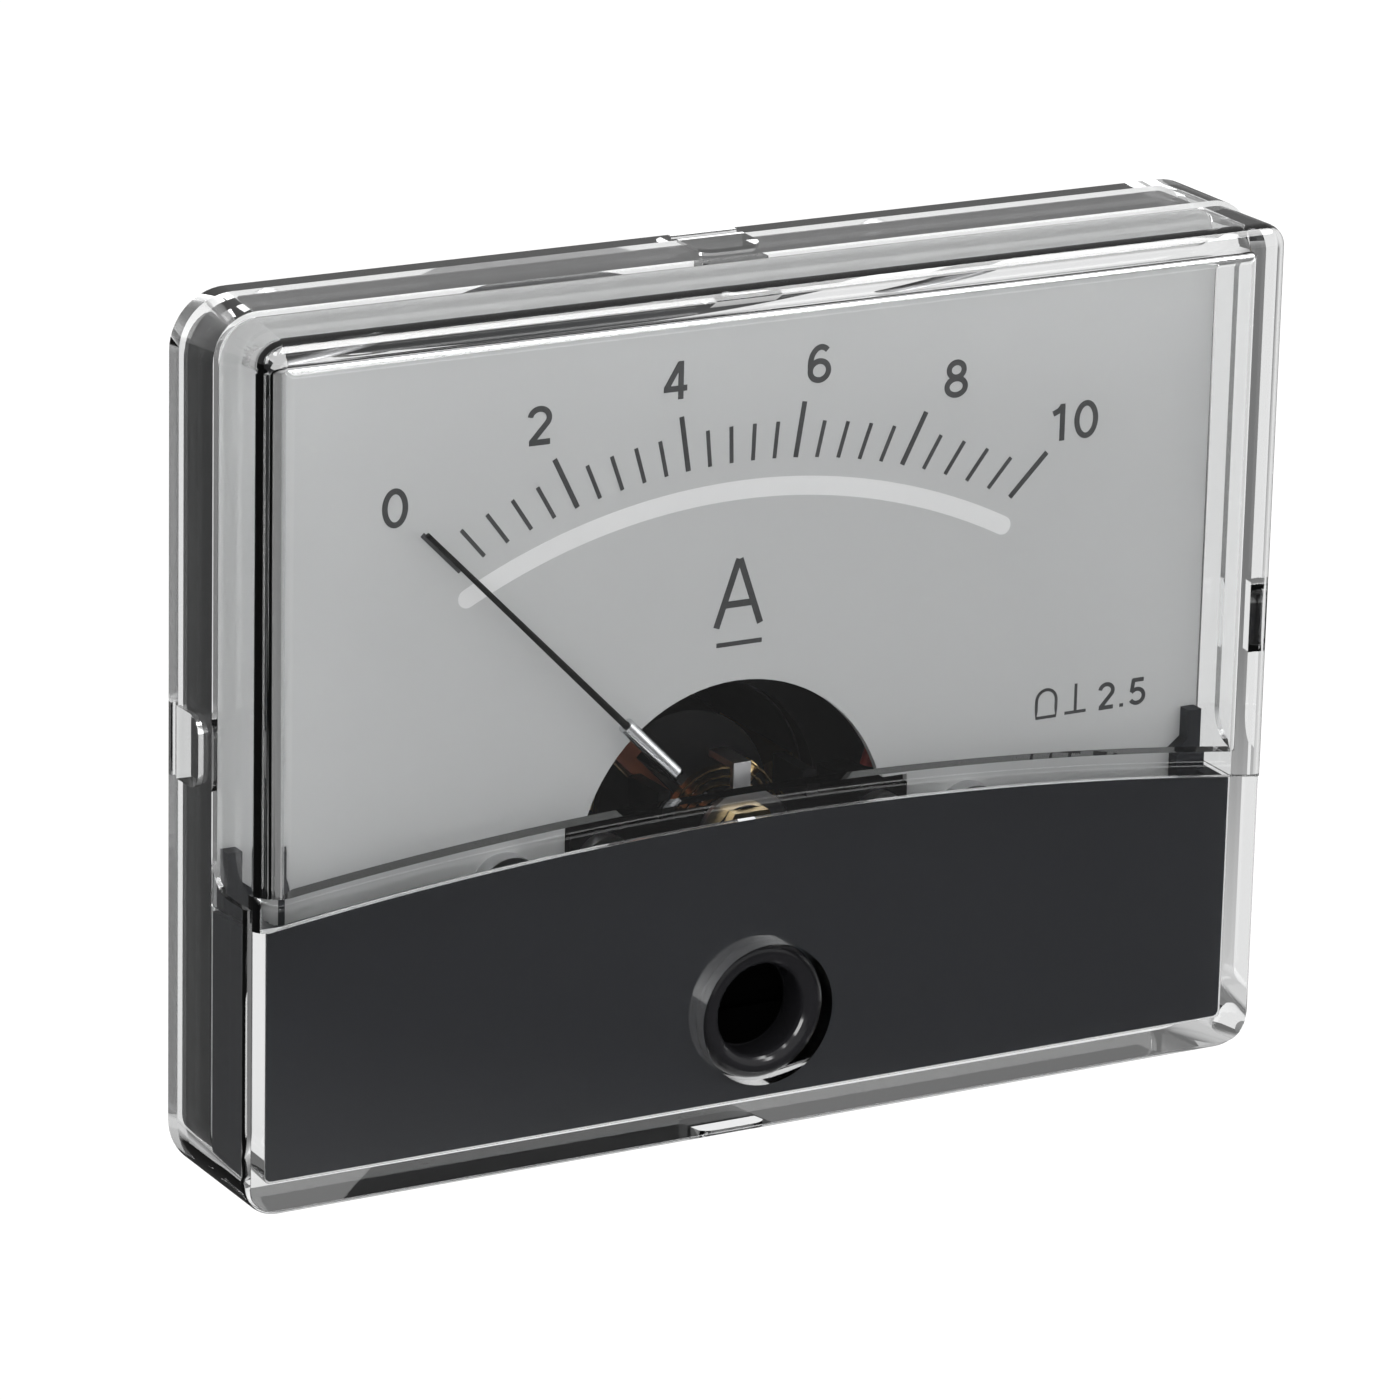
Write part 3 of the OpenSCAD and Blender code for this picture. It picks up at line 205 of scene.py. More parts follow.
for name, lamp in LAMPS.items():
    data = bpy.data.lights.new(name, "AREA")
    data.shape = "RECTANGLE"
    data.size, data.size_y = lamp["size"]
    data.energy = lamp["watts"]
    soft_box = bpy.data.objects.new(name, data)
    bpy.context.scene.collection.objects.link(soft_box)
    soft_box.location = lamp["place"]
    soft_box.rotation_euler = (-Vector(lamp["place"])).to_track_quat("-Z", "Y").to_euler()


# Clear front cover. One moulding in clear styrene: a skirt and a lower block that are flush
# with each other, and a window block that stands proud with an arched lower edge. Hooks of
# the base snap into a pocket in the middle of each side.
MM = 0.001
FACE_W, FACE_H = 60.0, 46.0
CORNER_R, LOWER_CORNER_R, WINDOW_CORNER_R, INNER_CORNER_R = 3.0, 1.9, 1.1, 0.3
LEAST_CORNER_R = 0.15
DRAFT = math.tan(math.radians(2))
SKIRT_D, LOWER_D, WINDOW_D = 4.6, 8.3, 9.3
WINDOW_INSET = 0.3
SIDE_WALL, FRONT_WALL, ARCH_WALL = 1.5, 1.4, 1.2
LOWER_EDGE_R, WINDOW_EDGE_R, ARCH_EDGE_R = 0.5, 1.1, 0.2
CAVITY_EDGE_R, UPPER_CAVITY_EDGE_R = 0.06, 0.6
ARCH_R, ARCH_TOP = 209.0, -5.4
SHOULDER, SHOULDER_R = -6.4, 1.8
DIAL_FRONT = 3.6
CATCH_W, CATCH_BACK, CATCH_FRONT, CATCH_IN = 3.8, 0.3, 2.7, 0.7
ADJUSTER_UP = -16.45
ADJUSTER_HOLE_R = 3.8
PAST_SIDE, PAST_FRONT, ARCH_REACH, PRISM_REACH = 40, 12, 34.0, 35.0
OVERLAP, CATCH_OVERLAP, HAIR, TOOL_PAST = 0.01, 0.3, 0.001, 1
CAVITY_BACK, UPPER_BACK, PAST_FACE = -0.1, 1, 2
CORNER_STEPS, EDGE_STEPS, ARCH_STEPS, BAR_STEPS = 14, 8, 160, 96
SHOULDER_STEPS, CATCH_STEPS = 12, 6


def place(x, up, front):
    """A point given as seen from the front, in millimetres, in the meter's own axes."""
    return Vector((x * MM, -front * MM, up * MM))


def quarter(steps):
    """Angles of a quarter turn."""
    return [math.radians(90 * k / steps) for k in range(steps + 1)]


def circle(x, up, r, depth, steps):
    """Points round a circle at one depth."""
    angles = [2 * math.pi * k / steps for k in range(steps)]
    return [place(x + r * math.cos(a), up + r * math.sin(a), depth) for a in angles]


def mesh_piece(name, mesh):
    """A new object that holds this bmesh."""
    data = bpy.data.meshes.new(name)
    bmesh.ops.recalc_face_normals(mesh, faces=mesh.faces)
    mesh.to_mesh(data)
    mesh.free()
    piece = bpy.data.objects.new(name, data)
    bpy.context.scene.collection.objects.link(piece)
    return piece


def add_skin(mesh, rings):
    """A closed skin over rings of points, with a flat cap at each end."""
    rows = [[mesh.verts.new(p) for p in ring] for ring in rings]
    count = len(rows[0])
    for low, high in zip(rows, rows[1:]):
        for i in range(count):
            j = (i + 1) % count
            mesh.faces.new((low[i], low[j], high[j], high[i]))
    mesh.faces.new(rows[0])
    mesh.faces.new(list(reversed(rows[-1])))


def loft(name, rings):
    """A new piece with one closed skin."""
    mesh = bmesh.new()
    add_skin(mesh, rings)
    return mesh_piece(name, mesh)


def rounded_outline(half_w, half_h, r, front):
    """Points round a rectangle with round corners."""
    points = []
    for corner, (sx, sy) in enumerate(((1, 1), (-1, 1), (-1, -1), (1, -1))):
        for k in range(CORNER_STEPS + 1):
            a = math.radians(90 * corner + 90 * k / CORNER_STEPS)
            points.append(place(sx * (half_w - r) + r * math.cos(a),
                                sy * (half_h - r) + r * math.sin(a), front))
    return points


def drafted_block(name, inset, r, front_r, back, front, edge_r, edge_steps=EDGE_STEPS):
    """A block with drafted walls, round front edges and corners from r to front_r."""
    levels = [(back, 0.0)]
    levels += [(front - edge_r * (1 - math.sin(a)), edge_r * (1 - math.cos(a)))
               for a in quarter(edge_steps)]
    rings = []
    for depth, pull in levels:
        gap = inset + depth * DRAFT + pull
        corner = r + (front_r - r) * (depth - back) / (front - back)
        rings.append(rounded_outline(FACE_W / 2 - gap, FACE_H / 2 - gap,
                                     max(corner - pull, LEAST_CORNER_R), depth))
    return loft(name, rings)


def below_arch(name, extra, back, front, edge_r=0.0):
    """Everything under the arch, with an edge that flares out over edge_r."""
    levels = [(back, extra)]
    if edge_r:
        levels += [(front - edge_r * (1 - math.sin(a)), extra + edge_r * (1 - math.cos(a)))
                   for a in quarter(EDGE_STEPS)]
    else:
        levels.append((front, extra))
    xs = [ARCH_REACH - 2 * ARCH_REACH * k / ARCH_STEPS for k in range(ARCH_STEPS + 1)]
    rings = []
    for depth, grow in levels:
        r = ARCH_R + grow
        ring = [place(x, ARCH_TOP - ARCH_R + math.sqrt(r * r - x * x), depth) for x in xs]
        rings.append(ring + [place(-ARCH_REACH, -PAST_SIDE, depth),
                             place(ARCH_REACH, -PAST_SIDE, depth)])
    return loft(name, rings)


def above(name, up, back):
    """A cutting block for everything above a height, from one depth to the front."""
    corners = ((-PAST_SIDE, up), (PAST_SIDE, up), (PAST_SIDE, PAST_SIDE), (-PAST_SIDE, PAST_SIDE))
    return loft(name, [[place(x, u, f) for x, u in corners] for f in (back, PAST_FRONT)])


def round_bar(name, x, up, r, back, front):
    """A round bar along the depth."""
    return loft(name, [circle(x, up, r, depth, BAR_STEPS) for depth in (back, front)])


def combine(piece, tool, how):
    """Adds a tool to a piece, cuts it away or keeps only what they share."""
    step = piece.modifiers.new("step", "BOOLEAN")
    step.operation, step.solver, step.object = how, "EXACT", tool
    bpy.context.view_layer.update()
    done = piece.evaluated_get(bpy.context.evaluated_depsgraph_get())
    made = bpy.data.meshes.new_from_object(done)
    piece.modifiers.clear()
    piece.data = made
    bpy.data.objects.remove(tool)
    return piece


def smooth(piece, degrees=32):
    """Smooth shading with true flat faces and sharp edges kept."""
    for face in piece.data.polygons:
        face.use_smooth = True
    piece.data.set_sharp_from_angle(angle=math.radians(degrees))
    weighted = piece.modifiers.new("weighted", "WEIGHTED_NORMAL")
    weighted.keep_sharp = True
    weighted.weight = 100


cover = drafted_block("front_cover_clear", 0, CORNER_R, LOWER_CORNER_R, 0, LOWER_D, LOWER_EDGE_R)
over_shoulder = [(SHOULDER + SHOULDER_R * (1 - math.sin(a)),
                  SKIRT_D + SHOULDER_R * (1 - math.cos(a))) for a in quarter(SHOULDER_STEPS)]
over_shoulder += [(SHOULDER, LOWER_D + PAST_FACE), (FACE_H, LOWER_D + PAST_FACE),
                  (FACE_H, SKIRT_D)]
combine(cover, loft("over_shoulder", [[place(x, u, f) for u, f in over_shoulder]
                                      for x in (-PRISM_REACH, PRISM_REACH)]), "DIFFERENCE")
window = drafted_block("window", WINDOW_INSET, CORNER_R - WINDOW_INSET, WINDOW_CORNER_R,
                       OVERLAP, WINDOW_D, WINDOW_EDGE_R)
combine(window, below_arch("arch", 0, LOWER_D - HAIR, WINDOW_D + OVERLAP, ARCH_EDGE_R),
        "DIFFERENCE")
combine(cover, window, "UNION")

cavity = drafted_block("cavity", SIDE_WALL, CORNER_R - SIDE_WALL, INNER_CORNER_R,
                       CAVITY_BACK, LOWER_D - FRONT_WALL, CAVITY_EDGE_R, 3)
combine(cavity, above("lower_room", SHOULDER - ARCH_WALL, DIAL_FRONT), "DIFFERENCE")
upper = drafted_block("upper", SIDE_WALL + WINDOW_INSET, CORNER_R - SIDE_WALL, INNER_CORNER_R,
                      UPPER_BACK, WINDOW_D - FRONT_WALL, UPPER_CAVITY_EDGE_R)
combine(upper, below_arch("step", ARCH_WALL, LOWER_D - FRONT_WALL, WINDOW_D + TOOL_PAST),
        "DIFFERENCE")
combine(cavity, upper, "UNION")
combine(cover, cavity, "DIFFERENCE")
combine(cover, round_bar("hole", 0, ADJUSTER_UP, ADJUSTER_HOLE_R,
                         LOWER_D - FRONT_WALL - TOOL_PAST, LOWER_D + TOOL_PAST), "DIFFERENCE")

nose = CATCH_W / 4
catch_outline = [(-CATCH_W / 2, CATCH_BACK), (CATCH_W / 2, CATCH_BACK)]
catch_outline += [(CATCH_W / 2 - nose * (1 - math.cos(a)), CATCH_FRONT - nose * (1 - math.sin(a)))
                  for a in quarter(CATCH_STEPS)]
catch_outline += [(-u, f) for u, f in reversed(catch_outline[2:])]
for side in range(4):
    inner = (FACE_W, FACE_H)[side % 2] / 2 - SIDE_WALL
    tool = loft("catch", [[place(x, u, f) for u, f in catch_outline]
                          for x in (inner - CATCH_OVERLAP, inner + CATCH_IN)])
    tool.data.transform(Matrix.Rotation(math.radians(-90 * side), 4, "Y"))
    combine(cover, tool, "DIFFERENCE")
smooth(cover)


def finish(name, colour, rough, metal=0.0, see_through=0.0, index=1.5, shine=0.5):
    """A new material with its plain values, ready for its own nodes."""
    made = bpy.data.materials.new(name)
    made.use_nodes = True
    shader = made.node_tree.nodes["Principled BSDF"]
    shader.inputs["Base Color"].default_value = (*colour, 1)
    shader.inputs["Roughness"].default_value = rough
    shader.inputs["Metallic"].default_value = metal
    shader.inputs["Transmission Weight"].default_value = see_through
    shader.inputs["IOR"].default_value = index
    shader.inputs["Specular IOR Level"].default_value = shine
    return made


def grain(made, size, detail, stretch=(1, 1, 1)):
    """Noise in the piece's own space, with grains of this size in metres."""
    tree = made.node_tree
    space = tree.nodes.new("ShaderNodeTexCoord")
    scale = tree.nodes.new("ShaderNodeMapping")
    scale.inputs["Scale"].default_value = stretch
    noise = tree.nodes.new("ShaderNodeTexNoise")
    noise.inputs["Scale"].default_value = 1 / size
    noise.inputs["Detail"].default_value = detail
    tree.links.new(space.outputs["Object"], scale.inputs["Vector"])
    tree.links.new(scale.outputs["Vector"], noise.inputs["Vector"])
    return noise.outputs["Fac"]


def vary(made, source, low, high, socket):
    """Runs a shader input between two values as the source goes from dark to light."""
    tree = made.node_tree
    into = tree.nodes["Principled BSDF"].inputs[socket]
    if isinstance(low, tuple):
        ramp = tree.nodes.new("ShaderNodeMix")
        ramp.data_type = "RGBA"
        ramp.inputs["A"].default_value = (*low, 1)
        ramp.inputs["B"].default_value = (*high, 1)
        tree.links.new(source, ramp.inputs["Factor"])
    else:
        ramp = tree.nodes.new("ShaderNodeMapRange")
        ramp.inputs["To Min"].default_value = low
        ramp.inputs["To Max"].default_value = high
        tree.links.new(source, ramp.inputs["Value"])
    tree.links.new(ramp.outputs["Result"], into)


def bump(made, source, height, strength):
    """Raises the surface by the source, at most by this height in metres."""
    tree = made.node_tree
    node = tree.nodes.new("ShaderNodeBump")
    node.inputs["Distance"].default_value = height
    node.inputs["Strength"].default_value = strength
    tree.links.new(source, node.inputs["Height"])
    tree.links.new(node.outputs["Normal"], tree.nodes["Principled BSDF"].inputs["Normal"])


def coat(piece, made):
    """Gives a piece this one material."""
    piece.data.materials.clear()
    piece.data.materials.append(made)


clear_styrene = finish("clear_styrene", (0.985, 0.99, 0.99), rough=0.0, see_through=1.0,
                       index=1.57)
vary(clear_styrene, grain(clear_styrene, size=0.012, detail=2), 0.0, 0.035, "Roughness")
bump(clear_styrene, grain(clear_styrene, size=0.006, detail=1), height=0.000004, strength=0.15)
coat(cover, clear_styrene)
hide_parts("front_cover")
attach(cover, "case")


# Dial plate. Thin aluminium sheet with a sprayed grey enamel, held by two screws.
# The enamel is a little uneven, with the fine skin that a spray leaves.
def speckled(name, colour, darker, paler, size, detail, rough, metal=0.0, shine=0.5,
             stretch=(1, 1, 1)):
    """A material whose colour varies a little from grain to grain."""
    made = finish(name, colour, rough, metal, shine=shine)
    vary(made, grain(made, size, detail, stretch), darker, paler, "Base Color")
    return made


def dress(names, made):
    """Gives solids of the frame their finish."""
    for name in names:
        coat(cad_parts[name], made)


dial_enamel = speckled("dial_enamel", (0.56, 0.565, 0.565), (0.555, 0.56, 0.56),
                       (0.575, 0.58, 0.58), size=0.009, detail=4, rough=0.42)
bump(dial_enamel, grain(dial_enamel, size=0.00035, detail=2), height=0.000004, strength=0.3)
dress(["dial_plate"], dial_enamel)


# Scale. Screen-printed ink on the enamel: 25 divisions on an arc of their own, each in line
# with the pointer's pivot, and every fifth one longer. A pale band runs under them.
PIVOT_UP, TICK_CENTRE_UP = -7.84, -23.64
TICKS, LONG_EVERY, FIRST_TICK, TICK_TURN = 26, 5, -45, 3.6
TICK_IN, TICK_SHORT, TICK_LONG = 35.58, 37.5, 38.5
TICK_W, LONG_TICK_W = 0.22, 0.28
PRINT_LIFT, PRINT_H, BAND_H = 0.002, 0.02, 0.012
BAND_R, BAND_W, BAND_END = 34.1, 1.0, 15.6
BAND_STEPS, BAND_END_STEPS = 60, 12

scale_ink = speckled("scale_ink", (0.05, 0.051, 0.053), (0.045, 0.046, 0.048),
                     (0.057, 0.058, 0.06), size=0.0004, detail=2, rough=0.45)
band_ink = speckled("band_ink", (0.84, 0.84, 0.84), (0.82, 0.82, 0.82), (0.86, 0.86, 0.86),
                    size=0.0006, detail=2, rough=0.45)


def print_on_dial(piece, ink):
    """Inks a printed piece, which stays with the dial."""
    coat(piece, ink)
    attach(piece, "case")


def printed(name, outlines, ink, height):
    """Flat print with a little thickness, from outlines of (x, up) points."""
    mesh = bmesh.new()
    for outline in outlines:
        add_skin(mesh, [[place(x, u, DIAL_FRONT + depth) for x, u in outline]
                        for depth in (PRINT_LIFT, height)])
    print_on_dial(mesh_piece(name, mesh), ink)


def reach_circle(angle, r):
    """How far a line from the pivot runs to a circle round the divisions' own centre."""
    drop = TICK_CENTRE_UP - PIVOT_UP
    along = drop * math.cos(angle)
    return along + math.sqrt(along * along + r * r - drop * drop)


ticks = []
for k in range(TICKS):
    angle = math.radians(FIRST_TICK + TICK_TURN * k)
    is_long = k % LONG_EVERY == 0
    half = (LONG_TICK_W if is_long else TICK_W) / 2
    near = reach_circle(angle, TICK_IN)
    far = reach_circle(angle, TICK_LONG if is_long else TICK_SHORT)
    ticks.append([(math.sin(angle) * d + math.cos(angle) * s,
                   PIVOT_UP + math.cos(angle) * d - math.sin(angle) * s)
                  for d, s in ((near, -half), (near, half), (far, half), (far, -half))])
printed("scale_divisions", ticks, scale_ink, PRINT_H)

band_angle = math.asin(BAND_END / BAND_R)
band = []
for way in (1, -1):
    r = BAND_R + way * BAND_W / 2
    for k in range(BAND_STEPS + 1):
        a = way * band_angle * (1 - 2 * k / BAND_STEPS)
        band.append((r * math.sin(-a), TICK_CENTRE_UP + r * math.cos(a)))
    end = way * band_angle
    middle = (BAND_R * math.sin(end), TICK_CENTRE_UP + BAND_R * math.cos(end))
    for k in range(1, BAND_END_STEPS):
        t = math.radians(180 * k / BAND_END_STEPS)
        out, along = way * BAND_W / 2 * math.cos(t), way * BAND_W / 2 * math.sin(t)
        band.append((middle[0] + out * math.sin(end) + along * math.cos(end),
                     middle[1] + out * math.cos(end) - along * math.sin(end)))
printed("scale_band", [band], band_ink, BAND_H)


# Figures. The scale's numbers and the accuracy class, in the same ink. Each digit is a few
# strokes of one width in a box that is one high, with arcs from an ellipse.
def arc(x, up, wide, high, start, end, steps=28):
    """Points along part of an ellipse, by its angles in degrees."""
    angles = [math.radians(start + (end - start) * k / steps) for k in range(steps + 1)]
    return [(x + wide * math.cos(a), up + high * math.sin(a)) for a in angles]


def stroke_mesh(points, width, closed):
    """A flat printed stroke of one width along a line of points."""
    mesh = bmesh.new()
    count = len(points)
    rows = []
    for k, (x, u) in enumerate(points):
        before = points[k - 1] if k or closed else points[k]
        after = points[(k + 1) % count] if k + 1 < count or closed else points[k]
        along = Vector((after[0] - before[0], after[1] - before[1])).normalized()
        out = Vector((-along[1], along[0])) * width / 2
        rows.append([mesh.verts.new(place(x + out[0] * side, u + out[1] * side,
                                          DIAL_FRONT + depth))
                     for side, depth in ((-1, PRINT_LIFT), (1, PRINT_LIFT),
                                         (1, PRINT_H), (-1, PRINT_H))])
    for k in range(count if closed else count - 1):
        near, far = rows[k], rows[(k + 1) % count]
        for i in range(4):
            j = (i + 1) % 4
            mesh.faces.new((near[i], near[j], far[j], far[i]))
    if not closed:
        mesh.faces.new(rows[0])
        mesh.faces.new(list(reversed(rows[-1])))
    return mesh


def drawn(name, strokes, weight):
    """One printed sign from its strokes, joined into a single mesh."""
    whole = None
    for points, closed in strokes:
        piece = mesh_piece(name, stroke_mesh(points, weight, closed))
        whole = piece if whole is None else combine(whole, piece, "UNION")
    print_on_dial(whole, scale_ink)


def line(*points):
    """An open stroke."""
    return (list(points), False)


def oval(x, up, wide, high, steps=40):
    """A closed stroke round an ellipse."""
    return (arc(x, up, wide, high, 0, 360, steps)[:-1], True)


DIGITS = {
    "0": [oval(0.31, 0.5, 0.25, 0.44, 48)],
    "1": [line((0.37, 0.0), (0.37, 1.0)), line((0.36, 0.93), (0.27, 0.82), (0.12, 0.75))],
    "2": [line(*arc(0.31, 0.70, 0.235, 0.235, 172, -38), (0.10, 0.075)),
          line((0.05, 0.065), (0.57, 0.065))],
    "4": [line((0.44, 0.0), (0.44, 1.0)), line((0.42, 0.95), (0.07, 0.30)),
          line((0.01, 0.285), (0.60, 0.285))],
    "5": [line((0.13, 0.935), (0.54, 0.935)), line((0.17, 0.97), (0.11, 0.50)),
          line(*arc(0.305, 0.325, 0.25, 0.262, 145, -150))],
    "6": [oval(0.325, 0.315, 0.235, 0.25), line(*arc(0.36, 0.48, 0.27, 0.457, 190, 52))],
    "8": [oval(0.31, 0.735, 0.195, 0.20), oval(0.31, 0.285, 0.24, 0.22)],
    ".": [line((0.10, 0.0), (0.10, 0.13))],
}
DIGIT_STEP, NARROW_STEP = 0.78, {"1": 0.70, ".": 0.36}
FIGURE_WEIGHT, FIGURE_WIDE = 0.155, 1.15
PRINT_SHIFT = (0.26, -0.18)
SCALE_FIGURE_H, CLASS_FIGURE_H = 1.98, 1.46
SCALE_FIGURES = {"0": (-19.93, 12.04), "2": (-11.91, 15.35), "4": (-4.22, 16.8),
                 "6": (4.11, 16.76), "8": (12.26, 15.06), "10": (19.5, 12.0)}
CLASS_FIGURE, CLASS_FIGURE_AT = "2.5", (23.09, -3.3)


def figures(name, words, centre, height):
    """Printed figures, centred at a point of the dial."""
    strokes, at = [], 0.0
    for letter in words:
        for points, closed in DIGITS[letter]:
            strokes.append(([(px + at, pu) for px, pu in points], closed))
        at += NARROW_STEP.get(letter, DIGIT_STEP)
    spans = [px for points, closed in strokes for px, pu in points]
    middle = (min(spans) + max(spans)) / 2
    strokes = [([(centre[0] + PRINT_SHIFT[0] + (px - middle) * height * FIGURE_WIDE,
                  centre[1] + PRINT_SHIFT[1] + (pu - 0.5) * height)
                 for px, pu in points], closed) for points, closed in strokes]
    drawn(name, strokes, FIGURE_WEIGHT * height)


for words, centre in SCALE_FIGURES.items():
    figures("figure_" + words, words, centre, SCALE_FIGURE_H)
figures("class_figure", CLASS_FIGURE, CLASS_FIGURE_AT, CLASS_FIGURE_H)


# Signs. The letter for amperes with the bar for direct current under it, and two small ones:
# an open arch for a moving-coil movement and an upside-down T for upright use.
A_HALF, A_TOP_HALF, A_LOW, A_HIGH, A_WEIGHT = 1.28, 0.03, 3.28, 6.83, 0.36
A_BAR_HALF, A_BAR_UP = 0.85, 4.45
DC_BAR_LEFT, DC_BAR_RIGHT, DC_BAR_UP, DC_BAR_WEIGHT = -1.25, 1.4, 2.35, 0.24
ARCH_X, ARCH_LOW, ARCH_HALF, ARCH_TALL, ARCH_LEG = 18.7, -4.15, 0.6, 1.5, 0.4
UPRIGHT_X, UPRIGHT_LOW, UPRIGHT_HIGH, UPRIGHT_HALF = 20.5, -4.1, -2.55, 0.65
SMALL_SIGN_WEIGHT = 0.17

drawn("unit_sign", [line((-A_HALF, A_LOW), (-A_TOP_HALF, A_HIGH)),
                    line((A_HALF, A_LOW), (A_TOP_HALF, A_HIGH)),
                    line((-A_BAR_HALF, A_BAR_UP), (A_BAR_HALF, A_BAR_UP))], A_WEIGHT)
drawn("direct_current_bar", [line((DC_BAR_LEFT, DC_BAR_UP), (DC_BAR_RIGHT, DC_BAR_UP))],
      DC_BAR_WEIGHT)

arch_line = [(ARCH_X - ARCH_HALF, ARCH_LOW + ARCH_LEG), (ARCH_X - ARCH_HALF, ARCH_LOW),
             (ARCH_X + ARCH_HALF, ARCH_LOW), (ARCH_X + ARCH_HALF, ARCH_LOW + ARCH_LEG)]
arch_line += arc(ARCH_X, ARCH_LOW + ARCH_TALL - ARCH_HALF, ARCH_HALF, ARCH_HALF, 0, 180, 16)
drawn("moving_coil_sign", [(arch_line, True)], SMALL_SIGN_WEIGHT)
drawn("upright_sign", [line((UPRIGHT_X, UPRIGHT_LOW), (UPRIGHT_X, UPRIGHT_HIGH)),
                       line((UPRIGHT_X - UPRIGHT_HALF, UPRIGHT_LOW),
                            (UPRIGHT_X + UPRIGHT_HALF, UPRIGHT_LOW))], SMALL_SIGN_WEIGHT)


# Front mask. A black moulding behind the cover's lower block, arched as the window's edge.
# Flanges stand back to the dial, a tab at each end steps up, and the zero adjuster turns in
# a boss.
MASK_FRONT, MASK_BACK, MASK_GAP, MASK_DROP = 6.85, 6.4, 0.08, 0.54
MASK_CORNER_R, MASK_CORNER_FRONT_R, MASK_EDGE_R = 0.4, 0.35, 0.04
FLANGE_T, FLANGE_TOP = 0.8, -7.9
FLANGE_CORNER_R, FLANGE_CORNER_FRONT_R, FLANGE_INNER_R, FLANGE_EDGE_R = 0.95, 0.5, 0.2, 0.02
TAB_TOP, TAB_FRONT, TAB_STEP, TAB_ROOT, TAB_FOOT, TAB_FOOT_UP = -4.7, 4.4, 1.6, 1, 1.7, 0.9
BOSS_R, BOSS_BORE_R, BOSS_H = 4.3, 3.05, 1.05

side_gap = SIDE_WALL + MASK_GAP
front_mask = drafted_block("front_mask_plate", side_gap, MASK_CORNER_R, MASK_CORNER_FRONT_R,
                           MASK_BACK, MASK_FRONT, MASK_EDGE_R, 2)
combine(front_mask, below_arch("mask_arch", -MASK_DROP, MASK_BACK - TOOL_PAST,
                               MASK_FRONT + TOOL_PAST), "INTERSECT")
flange = drafted_block("flange", side_gap, FLANGE_CORNER_R, FLANGE_CORNER_FRONT_R, DIAL_FRONT,
                       MASK_BACK + OVERLAP, FLANGE_EDGE_R, 2)
flange_room = drafted_block("flange_room", side_gap + FLANGE_T, FLANGE_INNER_R, FLANGE_INNER_R,
                            0, MASK_BACK, FLANGE_EDGE_R, 2)
combine(flange, above("upper_half", FLANGE_TOP, 0), "DIFFERENCE")
combine(flange, flange_room, "DIFFERENCE")
combine(front_mask, flange, "UNION")
for side in (-1, 1):
    outer = side * (FACE_W / 2 - SIDE_WALL - WINDOW_INSET - MASK_BACK * DRAFT - MASK_GAP)
    tab = [(outer, FLANGE_TOP - TAB_ROOT), (outer, TAB_TOP), (outer - side * FLANGE_T, TAB_TOP),
           (outer - side * FLANGE_T, TAB_TOP - TAB_STEP),
           (outer - side * TAB_FOOT, FLANGE_TOP + TAB_FOOT_UP),
           (outer - side * TAB_FOOT, FLANGE_TOP - TAB_ROOT)]
    combine(front_mask, loft("tab", [[place(x, u, f) for x, u in tab]
                                     for f in (DIAL_FRONT, TAB_FRONT)]), "UNION")
combine(front_mask, round_bar("boss", 0, ADJUSTER_UP, BOSS_R, MASK_BACK - BOSS_H,
                              MASK_BACK + OVERLAP), "UNION")
combine(front_mask, round_bar("boss_bore", 0, ADJUSTER_UP, BOSS_BORE_R,
                              MASK_BACK - BOSS_H - TOOL_PAST, MASK_FRONT + TOOL_PAST), "DIFFERENCE")
smooth(front_mask)

mask_black = finish("mask_black", (0.0125, 0.014, 0.018), rough=0.5, shine=0.27)
vary(mask_black, grain(mask_black, size=0.0006, detail=3), 0.45, 0.6, "Roughness")
bump(mask_black, grain(mask_black, size=0.0002, detail=2), height=0.000002, strength=0.2)
coat(front_mask, mask_black)
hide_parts("front_mask")
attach(front_mask, "case")


# Base. The plate behind the cover and its barrel, one moulding in black phenolic with the
# satin skin that the mould leaves.
base_black = finish("base_black", (0.011, 0.0115, 0.0125), rough=0.42, shine=0.4)
vary(base_black, grain(base_black, size=0.002, detail=4), 0.34, 0.5, "Roughness")
bump(base_black, grain(base_black, size=0.00025, detail=3), height=0.000006, strength=0.35)
dress(["base_housing"], base_black)


# Movement plate and front bridge. Mouldings in dull black plastic. The plate is screwed to
# the base and carries the whole movement, and the bridge holds the front jewel.
inner_black = finish("inner_black", (0.005, 0.005, 0.0055), rough=0.5, shine=0.09)
vary(inner_black, grain(inner_black, size=0.0012, detail=4), 0.42, 0.6, "Roughness")
bump(inner_black, grain(inner_black, size=0.00025, detail=3), height=0.000004, strength=0.3)
dress(["movement_plate", "front_bridge"], inner_black)


# Zero adjuster. A glossy black button, turned with a screwdriver from the front. Painted
# shade makes it darker and duller inside its round recess, where little light gets in.
# Painted shade: the radii where the recess's shade fades in, and its darker colour and duller shine
RECESS_SHADE_EDGE = (0.00235, 0.0025)
RECESS_SHADE_COLOUR, BUTTON_COLOUR = (0.0005, 0.0005, 0.0005), (0.008, 0.008, 0.009)
RECESS_SHADE_SHINE, BUTTON_SHINE = 0.02, 0.5

